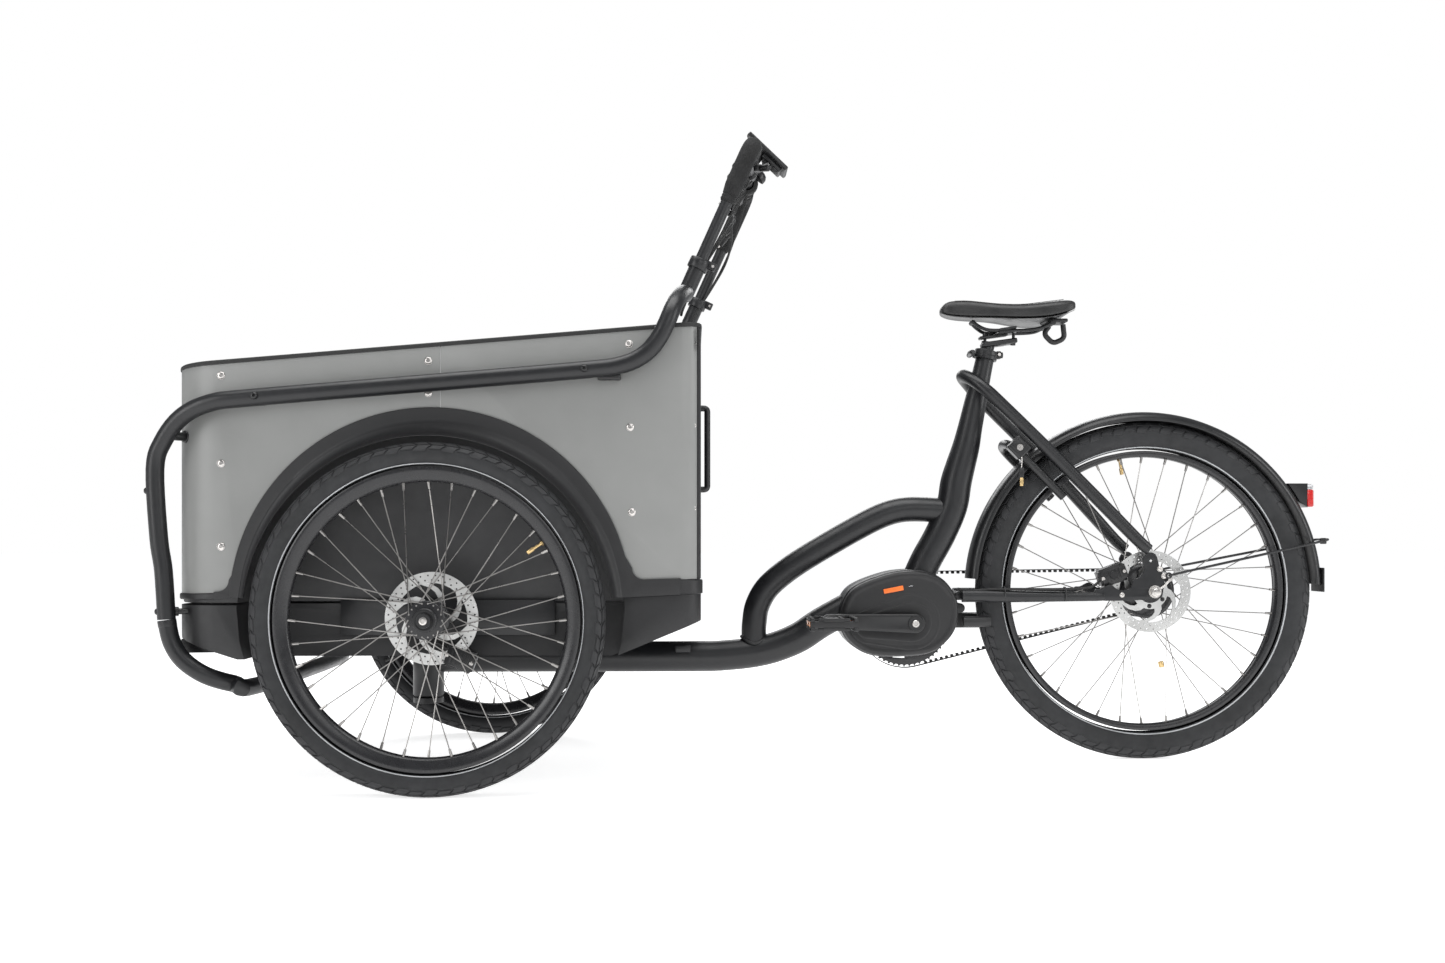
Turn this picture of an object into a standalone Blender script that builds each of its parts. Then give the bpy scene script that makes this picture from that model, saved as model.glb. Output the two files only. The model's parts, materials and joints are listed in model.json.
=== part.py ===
"""Cargo bicycle: a box on two front wheels that steers as one module ahead of a one-wheel rear frame.

Metres, +Z up. +X runs to the rear, so the rider's left is -Y. The origin is on the ground, below
the middle of the object.
"""

from math import acos, atan2, cos, hypot, pi, radians, sin, tan

import bmesh
import bpy
from mathutils import Matrix, Vector

# Driving dimensions.
GAP = 0.0003                # between two pieces that touch
RUNNING = 0.0006            # between a piece that turns and what it turns on
FRONT_AXLE_X = -0.605
FRONT_TYRE_RADIUS = 0.3005
FRONT_TYRE_WIDTH = 0.047
FRONT_RIM_INNER = FRONT_TYRE_RADIUS - 0.0675
RIDE = FRONT_TYRE_RADIUS - 0.3005      # the front module's height, from where it was drawn
REAR_AXLE_X = 0.739
REAR_TYRE_RADIUS = 0.3345
REAR_TYRE_WIDTH = 0.055
REAR_RIM_INNER = REAR_TYRE_RADIUS - 0.0695
REAR_SHIFT = REAR_AXLE_X - 0.739       # the rear wheel's place, from where it was drawn
REAR_LIFT = REAR_TYRE_RADIUS - 0.3345
SPOKES = 36
SPOKE_RADIUS = 0.0011
DISC_RADIUS = 0.080
DISC_THICKNESS = 0.0018
AXLE_RADIUS = 0.0065

KINGPIN_X = -0.677
KINGPIN_RADIUS = 0.015
KINGPIN_BOTTOM = 0.116 + RIDE
MAIN_TUBE_Z = 0.205 + RIDE
MAIN_TUBE_RADIUS = 0.030
UPPER_TUBE_RADIUS = 0.0245
STAY_RADIUS = 0.0125
DROPOUT_Y = 0.0735
DROPOUT_THICKNESS = 0.007
CRANK_X = 0.272
CRANK_Z = 0.274
CRANK_LENGTH = 0.167
CRANK_Y = 0.080
CRANK_THICKNESS = 0.013
PEDAL_RISE = 0.004          # of the crank's tip above its axis, at rest
SPINDLE_RADIUS = 0.010
PEDAL_EYE_RADIUS = 0.0062
MOTOR_HALF_WIDTH = 0.045
MOTOR_COVER_THICKNESS = 0.019
BELT_Y = 0.055
BELT_WIDTH = 0.010
BELT_THICKNESS = 0.0035
FRONT_SPROCKET_RADIUS = 0.0945
REAR_SPROCKET_RADIUS = 0.0405
SEAT_TOP = Vector((0.4275, 0.0, 0.812))
SEAT_FOOT = Vector((0.3860, 0.0, 0.620))
SEATPOST_RADIUS = 0.0136
SEAT_TUBE_TOP_RADIUS = 0.018
SEAT_TUBE_FOOT_RADIUS = 0.031
SEAT_STAY_ROOT_X = 0.414
SEAT_STAY_END_X = 0.728      # as drawn; it follows the rear wheel
LOCK_X = 0.479
LOCK_SHARE = (LOCK_X - SEAT_STAY_ROOT_X) / (SEAT_STAY_END_X - SEAT_STAY_ROOT_X)
LOCK_MOVED = Vector((REAR_SHIFT, 0.0, REAR_LIFT)) * LOCK_SHARE
KEY_PIVOT = Vector((0.4805, -0.0705, 0.576)) + LOCK_MOVED
MUDGUARD_RADIUS = REAR_TYRE_RADIUS + 0.0205
MUDGUARD_THICKNESS = 0.0018

BOX_FRONT = -1.052
BOX_REAR = -0.143
BOX_HALF_WIDTH = 0.365
HALF_TRACK = BOX_HALF_WIDTH + 0.030
BOX_FRONT_CORNER = 0.078
BOX_REAR_CORNER = 0.035
BOX_SEAM_X = -0.590
BOX_BOTTOM = 0.3424 + RIDE  # the panels' lower edge, at the front
BOX_BOTTOM_SLOPE = 0.0285
BOX_TOP_FRONT = 0.7298 + RIDE
BOX_TOP_SLOPE = 0.0845
PANEL_THICKNESS = 0.003
LINER_THICKNESS = 0.006
FLOOR_BOTTOM = 0.3275 + RIDE
TRAY_BOTTOM = 0.231 + RIDE
TRAY_TOP = 0.3235 + RIDE    # ahead of the panels' seam; it rises behind it
TRAY_TOP_SLOPE = 0.046
TRAY_WALL = 0.0028
TRIM_RADIUS = 0.0045
BAND_BOTTOM = 0.3329 + RIDE # lower edge of the wheel arches' bands, at the front
BAND_BOTTOM_SLOPE = 0.0105
ARCH_Z = FRONT_TYRE_RADIUS + 0.0185
ARCH_RADIUS = FRONT_TYRE_RADIUS + 0.0425
ARCH_CLEARANCE = 0.0105
ARCH_THICKNESS = 0.003
ARCH_FILLET = 0.018         # where an arch runs into its bands
BAND_LAP = 0.003            # of the bands over the panels' lower edge
WELL_RADIUS = FRONT_TYRE_RADIUS + 0.0305
WELL_FACE = BOX_HALF_WIDTH - 0.072  # inner wall of the wheel wells, from the middle plane
BAR_RADIUS = 0.015
HANDLEBAR_RADIUS = 0.011
HANDLEBAR_HALF_WIDTH = 0.2165
HANDLEBAR_TOP = Vector((-0.046, 0.0, 1.161 + RIDE))
COLLAR_POINT = Vector((-0.143, 0.0, 0.945 + RIDE))
LEVER_FORWARD = Vector((-0.63, 0.0, -0.78)).normalized()
LEVER_REACH = 0.058         # from the handlebar's middle to the brake lever's pivot
LEVER_Y = 0.140

ROUND = 16                  # sides of a mid-sized round piece
WHEEL_SIDES = 36


def collection(name):
    made = bpy.data.collections.new(name)
    bpy.context.scene.collection.children.link(made)
    return made


for old in list(bpy.data.objects):
    bpy.data.objects.remove(old)
PARTS = collection("cargo_bicycle")
CUTTERS = collection("cutters")


def material(name, color, roughness, metallic=0.0):
    made = bpy.data.materials.new(name)
    made.use_nodes = True
    shader = made.node_tree.nodes["Principled BSDF"]
    shader.inputs["Base Color"].default_value = (*color, 1.0)
    shader.inputs["Roughness"].default_value = roughness
    shader.inputs["Metallic"].default_value = metallic
    return made


FRAME_BLACK = material("frame_black", (0.012, 0.012, 0.013), 0.42)
PLASTIC = material("black_plastic", (0.014, 0.014, 0.015), 0.55)
PANEL_GREY = material("grey_panel", (0.21, 0.21, 0.205), 0.45)
RUBBER = material("tyre_rubber", (0.015, 0.015, 0.015), 0.8)
RIM_BLACK = material("rim_black", (0.010, 0.010, 0.011), 0.3, 0.6)
STEEL = material("steel", (0.62, 0.62, 0.60), 0.25, 1.0)
LEATHERETTE = material("saddle_cover", (0.013, 0.013, 0.013), 0.5)
BRASS = material("brass", (0.60, 0.42, 0.16), 0.35, 1.0)
RED_LENS = material("red_lens", (0.55, 0.02, 0.02), 0.2)


# Building blocks.

def add(name, mesh, finish, helper=False):
    made = bpy.data.objects.new(name, mesh)
    mesh.materials.append(finish)
    mesh.shade_smooth()
    mesh.set_sharp_from_angle(angle=radians(35))
    (CUTTERS if helper else PARTS).objects.link(made)
    if helper:
        made.hide_render = True
        made.display_type = "WIRE"
    return made


def from_bmesh(name, bm, finish, helper=False):
    bmesh.ops.recalc_face_normals(bm, faces=bm.faces)
    mesh = bpy.data.meshes.new(name)
    bm.to_mesh(mesh)
    bm.free()
    return add(name, mesh, finish, helper)


def rod(name, start, end, radius, finish, helper=False, sides=ROUND, end_radius=None):
    start, end = Vector(start), Vector(end)
    turn = (end - start).to_track_quat("Z", "Y").to_matrix().to_4x4()
    bm = bmesh.new()
    bmesh.ops.create_cone(
        bm, cap_ends=True, segments=sides, depth=(end - start).length,
        radius1=radius, radius2=radius if end_radius is None else end_radius,
        matrix=Matrix.Translation((start + end) / 2) @ turn)
    return from_bmesh(name, bm, finish, helper)


def cross_rod(name, x, z, y_low, y_high, radius, finish, helper=False, sides=ROUND):
    """A round bar that runs across the object."""
    return rod(name, (x, y_low, z), (x, y_high, z), radius, finish, helper, sides)


def block(name, low, high, finish, helper=False, turn=None, rounding=0.0):
    low, high = Vector(low), Vector(high)
    bm = bmesh.new()
    place = Matrix.Translation((low + high) / 2) @ (turn or Matrix.Identity(4))
    bmesh.ops.create_cube(bm, size=1, matrix=place @ Matrix.Diagonal((*(high - low), 1)))
    if rounding:
        bmesh.ops.bevel(bm, geom=bm.edges[:], offset=rounding, segments=2, affect="EDGES")
    return from_bmesh(name, bm, finish, helper)


def filleted(points, radius, steps=4, closed=False):
    """The points with each corner replaced by an arc. radius is one value, or one for each point."""
    points = [Vector(point) for point in points]
    radii = radius if isinstance(radius, (list, tuple)) else [radius] * len(points)
    count = len(points)
    smooth = []
    for index, corner in enumerate(points):
        if not closed and index in (0, count - 1):
            smooth.append(corner)
            continue
        to_last = points[index - 1] - corner
        to_next = points[(index + 1) % count] - corner
        inner = to_last.angle(to_next)
        if pi - inner < 0.01 or radii[index] == 0:
            smooth.append(corner)
            continue
        reach = radii[index] / tan(inner / 2)
        reach = min(reach, 0.49 * to_last.length, 0.49 * to_next.length)
        arc_radius = reach * tan(inner / 2)
        middle = (to_last.normalized() + to_next.normalized()).normalized()
        centre = corner + middle * (arc_radius / sin(inner / 2))
        first = corner + to_last.normalized() * reach - centre
        last = corner + to_next.normalized() * reach - centre
        sweep = first.angle(last)
        for step in range(steps + 1):
            share = step / steps
            arm = first * sin((1 - share) * sweep) + last * sin(share * sweep)
            smooth.append(centre + arm / sin(sweep))
    return smooth


def curve_mesh(name, data, turn=None):
    """The closed mesh of a curve, with its caps welded."""
    guide = bpy.data.objects.new(name + "_curve", data)
    CUTTERS.objects.link(guide)
    if turn:
        guide.matrix_world = turn
    graph = bpy.context.evaluated_depsgraph_get()
    mesh = bpy.data.meshes.new_from_object(guide.evaluated_get(graph))
    mesh.transform(guide.matrix_world)
    bpy.data.objects.remove(guide)
    bm = bmesh.new()
    bm.from_mesh(mesh)
    bmesh.ops.remove_doubles(bm, verts=bm.verts, dist=0.00002)
    bmesh.ops.recalc_face_normals(bm, faces=bm.faces)
    bm.to_mesh(mesh)
    bm.free()
    mesh.materials.clear()
    mesh.name = name
    return mesh


def tube(name, points, radius, finish, helper=False, bevel=3, closed=False, shares=None):
    """A round tube along the points. shares scales its radius at each point."""
    data = bpy.data.curves.new(name, "CURVE")
    data.dimensions = "3D"
    data.bevel_depth = radius
    data.bevel_resolution = bevel
    data.use_fill_caps = not closed
    spline = data.splines.new("POLY")
    spline.points.add(len(points) - 1)
    for index, point in enumerate(points):
        spline.points[index].co = (*point, 1)
        if shares:
            spline.points[index].radius = shares[index]
    spline.use_cyclic_u = closed
    return add(name, curve_mesh(name, data), finish, helper)


def outline_solid(name, outlines, thickness, place, finish, helper):
    data = bpy.data.curves.new(name, "CURVE")
    data.dimensions = "2D"
    data.fill_mode = "BOTH"
    data.extrude = thickness / 2
    for outline in outlines:
        spline = data.splines.new("POLY")
        spline.points.add(len(outline) - 1)
        for index, point in enumerate(outline):
            spline.points[index].co = (point[0], point[1], 0, 1)
        spline.use_cyclic_u = True
    return add(name, curve_mesh(name, data, place), finish, helper)


def plate(name, outlines, y_low, y_high, finish, helper=False):
    """Outlines of (x, z) points, as a flat plate between two heights across the object."""
    place = Matrix.Translation((0, (y_low + y_high) / 2, 0)) @ Matrix.Rotation(pi / 2, 4, "X")
    return outline_solid(name, outlines, y_high - y_low, place, finish, helper)


def slab(name, outline, z_low, z_high, finish, helper=False):
    """An outline of (x, y) points, as a flat slab."""
    place = Matrix.Translation((0, 0, (z_low + z_high) / 2))
    return outline_solid(name, [outline], z_high - z_low, place, finish, helper)


def turned(name, profile, centre, finish, steps=40, axis="Y", helper=False):
    """A closed profile of (radius, height) points, turned about a line through centre."""
    count = len(profile)
    area = sum(profile[index - 1][0] * profile[index][1] - profile[index][0] * profile[index - 1][1]
               for index in range(count))
    if area > 0:
        profile = profile[::-1]
    mesh = bpy.data.meshes.new(name)
    ring = [(index, (index + 1) % count) for index in range(count)]
    mesh.from_pydata([(radius, 0, height) for radius, height in profile], ring, [])
    made = add(name, mesh, finish, helper)
    screw = made.modifiers.new("turn", "SCREW")
    screw.steps = screw.render_steps = steps
    screw.use_merge_vertices = True
    screw.merge_threshold = 0.00001
    turn = Matrix.Rotation(-pi / 2, 4, "X") if axis == "Y" else Matrix.Identity(4)
    made.matrix_world = Matrix.Translation(centre) @ turn
    return made


def boolean(target, tool, operation):
    step = target.modifiers.new(tool.name, "BOOLEAN")
    step.object = tool
    step.operation = operation
    return target


def cut(target, *tools):
    for tool in tools:
        boolean(target, tool, "DIFFERENCE")
    return target


def join(target, *tools):
    for tool in tools:
        boolean(target, tool, "UNION")
    return target


def circle(x, z, radius, count, first=0.0, last=2 * pi):
    """Points on an arc, without the last point when it closes."""
    whole = abs(last - first) > 2 * pi - 0.001
    steps = count if whole else count - 1
    return [(x + radius * cos(first + (last - first) * index / steps),
             z + radius * sin(first + (last - first) * index / steps)) for index in range(count)]


def belt_outline(centre_a, radius_a, centre_b, radius_b, count=20):
    """The line that wraps two circles, A on the left."""
    run_x, run_z = centre_b[0] - centre_a[0], centre_b[1] - centre_a[1]
    slope = atan2(run_z, run_x)
    open_angle = acos((radius_a - radius_b) / hypot(run_x, run_z))
    left = circle(*centre_a, radius_a, count, slope + open_angle, slope + 2 * pi - open_angle)
    right = circle(*centre_b, radius_b, count, slope - open_angle, slope + open_angle)
    return left + right


# Wheels.

def make_tyre(name, x, y, radius, width):
    """A C-shaped casing, open to the rim."""
    half = width / 2
    wall = 0.0035
    centre = radius - half
    outer = [(centre + half * cos(radians(angle)), half * sin(radians(angle)))
             for angle in (125, 80, 35, 0, -35, -80, -125)]
    bore = half - wall * 1.3
    inside = [(centre + bore * cos(radians(angle)), bore * sin(radians(angle)))
              for angle in (-125, -45, 45, 125)]
    return turned(name, outer + inside, (x, y, radius), RUBBER, WHEEL_SIDES)


def make_rim(name, x, y, radius, width, inner):
    """A box rim that sits inside the tyre's beads."""
    seat = radius - width / 2 - (width / 2 - 0.0035) * cos(radians(55)) - 0.004
    half = width * 0.34
    profile = [(seat, half), (seat, -half), (inner + 0.006, -half * 0.8), (inner, -half * 0.35),
               (inner, half * 0.35), (inner + 0.006, half * 0.8)]
    return turned(name, profile, (x, y, radius), RIM_BLACK, WHEEL_SIDES)


def make_hub(name, x, y, z, profile, flange_radius, flanges, rim_inner):
    """A turned hub shell with its wire spokes joined to it, all spokes of a flange leaning one way."""
    hub = turned(name, profile, (x, y, z), RIM_BLACK, ROUND)
    bm = bmesh.new()
    lean = radians(62)
    per_side = SPOKES // 2
    for side, flange_y in enumerate(flanges):
        for index in range(per_side):
            angle = 2 * pi * (index + side / 2) / per_side
            swing = angle + (lean if side else -lean)
            root = Vector((flange_radius * cos(angle), flange_y, flange_radius * sin(angle)))
            tip_reach = rim_inner * cos(pi / WHEEL_SIDES) - GAP - SPOKE_RADIUS
            tip = Vector((tip_reach * cos(angle + (swing - angle) * 0.16), flange_y * 0.12,
                          tip_reach * sin(angle + (swing - angle) * 0.16)))
            turn = (tip - root).to_track_quat("Z", "Y").to_matrix().to_4x4()
            bmesh.ops.create_cone(
                bm, cap_ends=True, segments=4, depth=(tip - root).length,
                radius1=SPOKE_RADIUS, radius2=SPOKE_RADIUS,
                matrix=Matrix.Translation(Vector((x, y, z)) + (root + tip) / 2) @ turn)
    spokes = from_bmesh(name + "_spokes", bm, STEEL, helper=True)
    return join(hub, spokes)


def make_disc(name, x, y, z, hole):
    half = DISC_THICKNESS / 2
    profile = [(DISC_RADIUS, half), (DISC_RADIUS, -half), (hole, -half), (hole, half)]
    return turned(name, profile, (x, y, z), STEEL, 32)


def front_wheel(side, sign):
    x, y = FRONT_AXLE_X, sign * HALF_TRACK
    size = (FRONT_TYRE_RADIUS, FRONT_TYRE_WIDTH, FRONT_RIM_INNER)
    make_tyre("front_tyre_" + side, x, y, *size[:2])
    make_rim("front_rim_" + side, x, y, *size)
    bore = AXLE_RADIUS + RUNNING
    # Heights run outwards from the wheel's middle plane, away from the bicycle.
    stations = [(0.0135, 0.037), (0.0135, 0.029), (0.026, 0.027), (0.026, 0.023), (0.016, 0.018),
                (0.016, -0.018), (0.026, -0.023), (0.026, -0.027), (0.0175, -0.030),
                (0.0175, -0.038), (bore, -0.038), (bore, 0.037)]
    profile = [(radius, sign * height) for radius, height in stations]
    make_hub("front_hub_" + side, x, y, FRONT_TYRE_RADIUS, profile, 0.021,
             (sign * 0.025, sign * -0.025), FRONT_RIM_INNER)
    make_disc("front_disc_" + side, x, y - sign * 0.0345, FRONT_TYRE_RADIUS, 0.0175 + GAP)


def rear_wheel():
    x, z = REAR_AXLE_X, REAR_TYRE_RADIUS
    size = (REAR_TYRE_RADIUS, REAR_TYRE_WIDTH, REAR_RIM_INNER)
    make_tyre("rear_tyre", x, 0, *size[:2])
    make_rim("rear_rim", x, 0, *size)
    bore = AXLE_RADIUS + RUNNING
    profile = [(0.0165, 0.062), (0.0165, 0.042), (0.046, 0.036), (0.0535, 0.030), (0.0535, 0.026),
               (0.047, 0.022), (0.047, -0.022), (0.0535, -0.026), (0.0535, -0.030),
               (0.030, -0.036), (0.0225, -0.038), (0.0225, -0.052), (bore, -0.052),
               (bore, 0.062)]
    make_hub("rear_hub", x, 0, z, profile, 0.049, (0.028, -0.028), REAR_RIM_INNER)
    make_disc("rear_disc", x, -0.0475, z, 0.0225 + GAP)
    hole = circle(x, z, 0.0165 + RUNNING, ROUND)
    plate("rear_sprocket", [circle(x, z, REAR_SPROCKET_RADIUS, 40), hole],
          BELT_Y - BELT_WIDTH / 2, BELT_Y + BELT_WIDTH / 2, RIM_BLACK)


# Rear frame.

def eased(x, z):
    """A point of the frame's tubes: ahead of the motor it follows the front wheels' size."""
    front, rear = -0.035, 0.139
    return x, 0, z + RIDE * min(1.0, max(0.0, (rear - x) / (rear - front)))


MAIN_TUBE_PATH = [eased(x, z) for x, z in (
    (KINGPIN_X + 0.027, 0.205), (-0.150, 0.205), (-0.090, 0.207), (-0.035, 0.213),
    (0.010, 0.224), (0.055, 0.243), (0.096, 0.270), (0.150, 0.300))]
UPPER_TUBE_PATH = [eased(x, z) for x, z in (
    (-0.035, 0.205), (-0.035, 0.275), (-0.030, 0.305), (-0.012, 0.338), (0.018, 0.367),
    (0.063, 0.397), (0.139, 0.442), (0.200, 0.475), (0.241, 0.491), (0.281, 0.496),
    (0.350, 0.493))]
MOTOR_OUTLINE = [
    (0.129, 0.275), (0.134, 0.312), (0.158, 0.345), (0.220, 0.370), (0.272, 0.377),
    (0.312, 0.370), (0.343, 0.348), (0.362, 0.309), (0.354, 0.256), (0.314, 0.217),
    (0.255, 0.207), (0.187, 0.211), (0.145, 0.238)]


def shrunk(outline, by):
    """The outline moved towards its middle."""
    middle = Vector((sum(x for x, _ in outline), sum(z for _, z in outline))) / len(outline)
    return [tuple(middle + (Vector(point) - middle) * (1 - by / (Vector(point) - middle).length))
            for point in outline]


def frame_tubes():
    def main(name, extra, helper):
        return tube(name, MAIN_TUBE_PATH, MAIN_TUBE_RADIUS + extra, FRAME_BLACK, helper, bevel=4)

    def upper(name, extra, helper):
        return tube(name, UPPER_TUBE_PATH, UPPER_TUBE_RADIUS + extra, FRAME_BLACK, helper)

    def seat(name, extra, helper):
        axis = (SEAT_TOP - SEAT_FOOT).normalized()
        path = [SEAT_TOP - axis * 0.014, SEAT_FOOT + axis * 0.09, SEAT_FOOT, (0.366, 0, 0.548),
                (0.356, 0, 0.495), (0.334, 0, 0.445), (0.308, 0, 0.398), (0.286, 0, 0.350)]
        top, foot = SEAT_TUBE_TOP_RADIUS, SEAT_TUBE_FOOT_RADIUS
        radii = [top, top * 1.12, 0.0255, 0.029, foot, foot, foot, foot]
        return tube(name, path, foot, FRAME_BLACK, helper,
                    shares=[(radius + extra) / foot for radius in radii])

    motor_room = plate("motor_room", [shrunk(MOTOR_OUTLINE, -GAP)],
                       -MOTOR_HALF_WIDTH - GAP, MOTOR_HALF_WIDTH + GAP, PLASTIC, helper=True)
    main_tube = main("main_tube", 0, False)
    head = turned("steering_head", [(0.046, 0.025), (0.066, 0.0), (0.066, -0.012),
                                    (0.036, -0.078), (0.006, -0.078), (0.006, 0.025)],
                  (KINGPIN_X, 0, MAIN_TUBE_Z), FRAME_BLACK, ROUND, "Z", helper=True)
    bore = rod("kingpin_bore", (KINGPIN_X, 0, MAIN_TUBE_Z - 0.105),
               (KINGPIN_X, 0, MAIN_TUBE_Z + 0.095), KINGPIN_RADIUS + RUNNING, FRAME_BLACK,
               helper=True)
    join(main_tube, head)
    cut(main_tube, bore, motor_room)
    main_room = main("main_tube_room", GAP, True)
    seat_room = seat("seat_tube_room", GAP, True)
    cut(upper("upper_tube", 0, False), main_room, seat_room)
    seat_tube = seat("seat_tube", 0, False)
    axis = (SEAT_TOP - SEAT_FOOT).normalized()
    post_bore = rod("seatpost_bore", SEAT_FOOT, SEAT_TOP + axis * 0.02,
                    SEATPOST_RADIUS + GAP, FRAME_BLACK, helper=True)
    cut(seat_tube, motor_room, post_bore)
    return seat_room


def dropout_outline():
    """The plate that joins both stays and holds the axle, as points about the axle."""
    shape = [(-0.116, 0.004), (-0.112, -0.016), (-0.032, -0.016), (-0.010, -0.014),
             (0.012, -0.012), (0.017, 0.004), (0.019, 0.026), (0.010, 0.046), (0.002, 0.072),
             (-0.014, 0.076), (-0.024, 0.062), (-0.020, 0.046), (-0.028, 0.030), (-0.042, 0.022),
             (-0.048, 0.006), (-0.071, 0.004), (-0.086, 0.014), (-0.104, 0.006)]
    return [(REAR_AXLE_X + x, REAR_TYRE_RADIUS + z) for x, z in shape]


def reaching(x, y, z, root, end):
    """A point of a stay: its root stays on the frame and its end follows the rear wheel."""
    share = min(1.0, max(0.0, (x - root) / (end - root)))
    return x + REAR_SHIFT * share, y, z + REAR_LIFT * share


def stays(seat_room):
    axle = (REAR_AXLE_X, REAR_TYRE_RADIUS)
    for side, sign in (("left", -1), ("right", 1)):
        low, high = sorted(sign * (DROPOUT_Y + half * DROPOUT_THICKNESS / 2) for half in (-1, 1))
        dropout = plate("dropout_" + side, [dropout_outline(),
                                            circle(*axle, AXLE_RADIUS + GAP, 16)],
                        low, high, FRAME_BLACK, helper=True)
        path = [reaching(x, y, z, 0.420, 0.640) for x, y, z in (
            (0.3690, 0.0480, 0.326), (0.420, 0.0500, 0.326), (0.480, 0.0560, 0.325),
            (0.560, 0.0665, 0.325), (0.626, 0.0725, 0.325), (0.640, 0.0730, 0.325))]
        stay = tube("chain_stay_" + side, [(x, sign * y, z) for x, y, z in path],
                    STAY_RADIUS, FRAME_BLACK, shares=[1, 1, 0.92, 0.78, 0.68, 0.62])
        join(stay, dropout)
    near = [reaching(x, y, z, SEAT_STAY_ROOT_X, SEAT_STAY_END_X) for x, y, z in (
        (0.728, DROPOUT_Y, 0.4165), (0.705, 0.0730, 0.4365), (0.640, 0.0640, 0.505),
        (0.540, 0.0540, 0.6080), (0.440, 0.0500, 0.7060), (0.4140, 0.0440, 0.7310),
        (0.3960, 0.0310, 0.7480), (0.3835, 0.0150, 0.7580))]
    front = [(0.3800, 0, 0.7610)]
    path = [(x, -y, z) for x, y, z in near] + front + list(reversed(near))
    loop = tube("seat_stays", path, STAY_RADIUS, FRAME_BLACK)
    cut(loop, seat_room)
    for side, sign in (("left", -1), ("right", 1)):
        low, high = sorted(sign * (DROPOUT_Y + half * (DROPOUT_THICKNESS / 2 + GAP))
                           for half in (-1, 1))
        room = plate("dropout_room_" + side, [shrunk(dropout_outline(), -0.0012)], low, high,
                     FRAME_BLACK, helper=True)
        cut(loop, room)
    axle_rod = cross_rod("rear_axle", *axle, -0.094, 0.094, AXLE_RADIUS, STEEL, sides=16)
    inner = DROPOUT_Y + DROPOUT_THICKNESS / 2 + GAP
    for side, sign in (("left", -1), ("right", 1)):
        low, high = sorted((sign * inner, sign * (inner + 0.008)))
        nut = cross_rod("axle_nut_" + side, *axle, low, high, 0.0105, STEEL, True, 6)
        join(axle_rod, nut)


def drive():
    housing = plate("motor_housing", [MOTOR_OUTLINE], -MOTOR_HALF_WIDTH, MOTOR_HALF_WIDTH,
                    PLASTIC)
    cover_face = MOTOR_HALF_WIDTH + GAP
    cover = plate("motor_cover", [shrunk(MOTOR_OUTLINE, 0.003)],
                  -cover_face - MOTOR_COVER_THICKNESS, -cover_face, PLASTIC)
    for piece in (housing, cover):
        cut(piece, cross_rod(piece.name + "_bore", CRANK_X, CRANK_Z, -0.1, 0.1,
                             SPINDLE_RADIUS + RUNNING, PLASTIC, helper=True))
    arm_inner = CRANK_Y - CRANK_THICKNESS / 2
    arm_outer = CRANK_Y + CRANK_THICKNESS / 2
    cross_rod("crank_spindle", CRANK_X, CRANK_Z, -arm_outer, arm_outer, SPINDLE_RADIUS, STEEL)
    for side, sign in (("left", -1), ("right", 1)):
        low, high = sorted((sign * arm_inner, sign * arm_outer))
        tip = (CRANK_X + sign * CRANK_LENGTH, CRANK_Z - sign * PEDAL_RISE)
        big, small = ((CRANK_X, CRANK_Z), 0.019), (tip, 0.0145)
        left, right = (big, small) if sign > 0 else (small, big)
        outline = belt_outline(*left, *right, 10)
        plate("crank_" + side, [outline, circle(CRANK_X, CRANK_Z, SPINDLE_RADIUS + GAP, ROUND),
                                circle(*tip, PEDAL_EYE_RADIUS, 12)], low, high, FRAME_BLACK)
        make_pedal(side, sign, tip, arm_inner)
    hole = circle(CRANK_X, CRANK_Z, SPINDLE_RADIUS + GAP, ROUND)
    half = BELT_WIDTH / 2
    plate("front_sprocket", [circle(CRANK_X, CRANK_Z, FRONT_SPROCKET_RADIUS, 60), hole],
          BELT_Y - half, BELT_Y + half, RIM_BLACK)
    centres = (CRANK_X, CRANK_Z), (REAR_AXLE_X, REAR_TYRE_RADIUS)
    inner = [FRONT_SPROCKET_RADIUS + RUNNING, REAR_SPROCKET_RADIUS + RUNNING]
    outlines = [belt_outline(centres[0], inner[0] + extra, centres[1], inner[1] + extra, 30)
                for extra in (BELT_THICKNESS, 0)]
    plate("drive_belt", outlines, BELT_Y - half, BELT_Y + half, RUBBER)


def make_pedal(side, sign, tip, arm_inner):
    """A flat platform on a spindle that runs in the crank's eye."""
    x, z = tip
    inner, outer = arm_inner + CRANK_THICKNESS + 0.006, 0.190
    low, high = sorted((sign * inner, sign * outer))
    body = block("pedal_" + side, (x - 0.046, low, z - 0.013), (x + 0.046, high, z + 0.013),
                 PLASTIC, rounding=0.003)
    near, far = sorted((sign * (arm_inner + 0.001), sign * (inner + 0.01)))
    join(body, cross_rod("pedal_spindle_" + side, x, z, near, far, PEDAL_EYE_RADIUS - 0.0004,
                         STEEL, True, 12))


# Seat.

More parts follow.
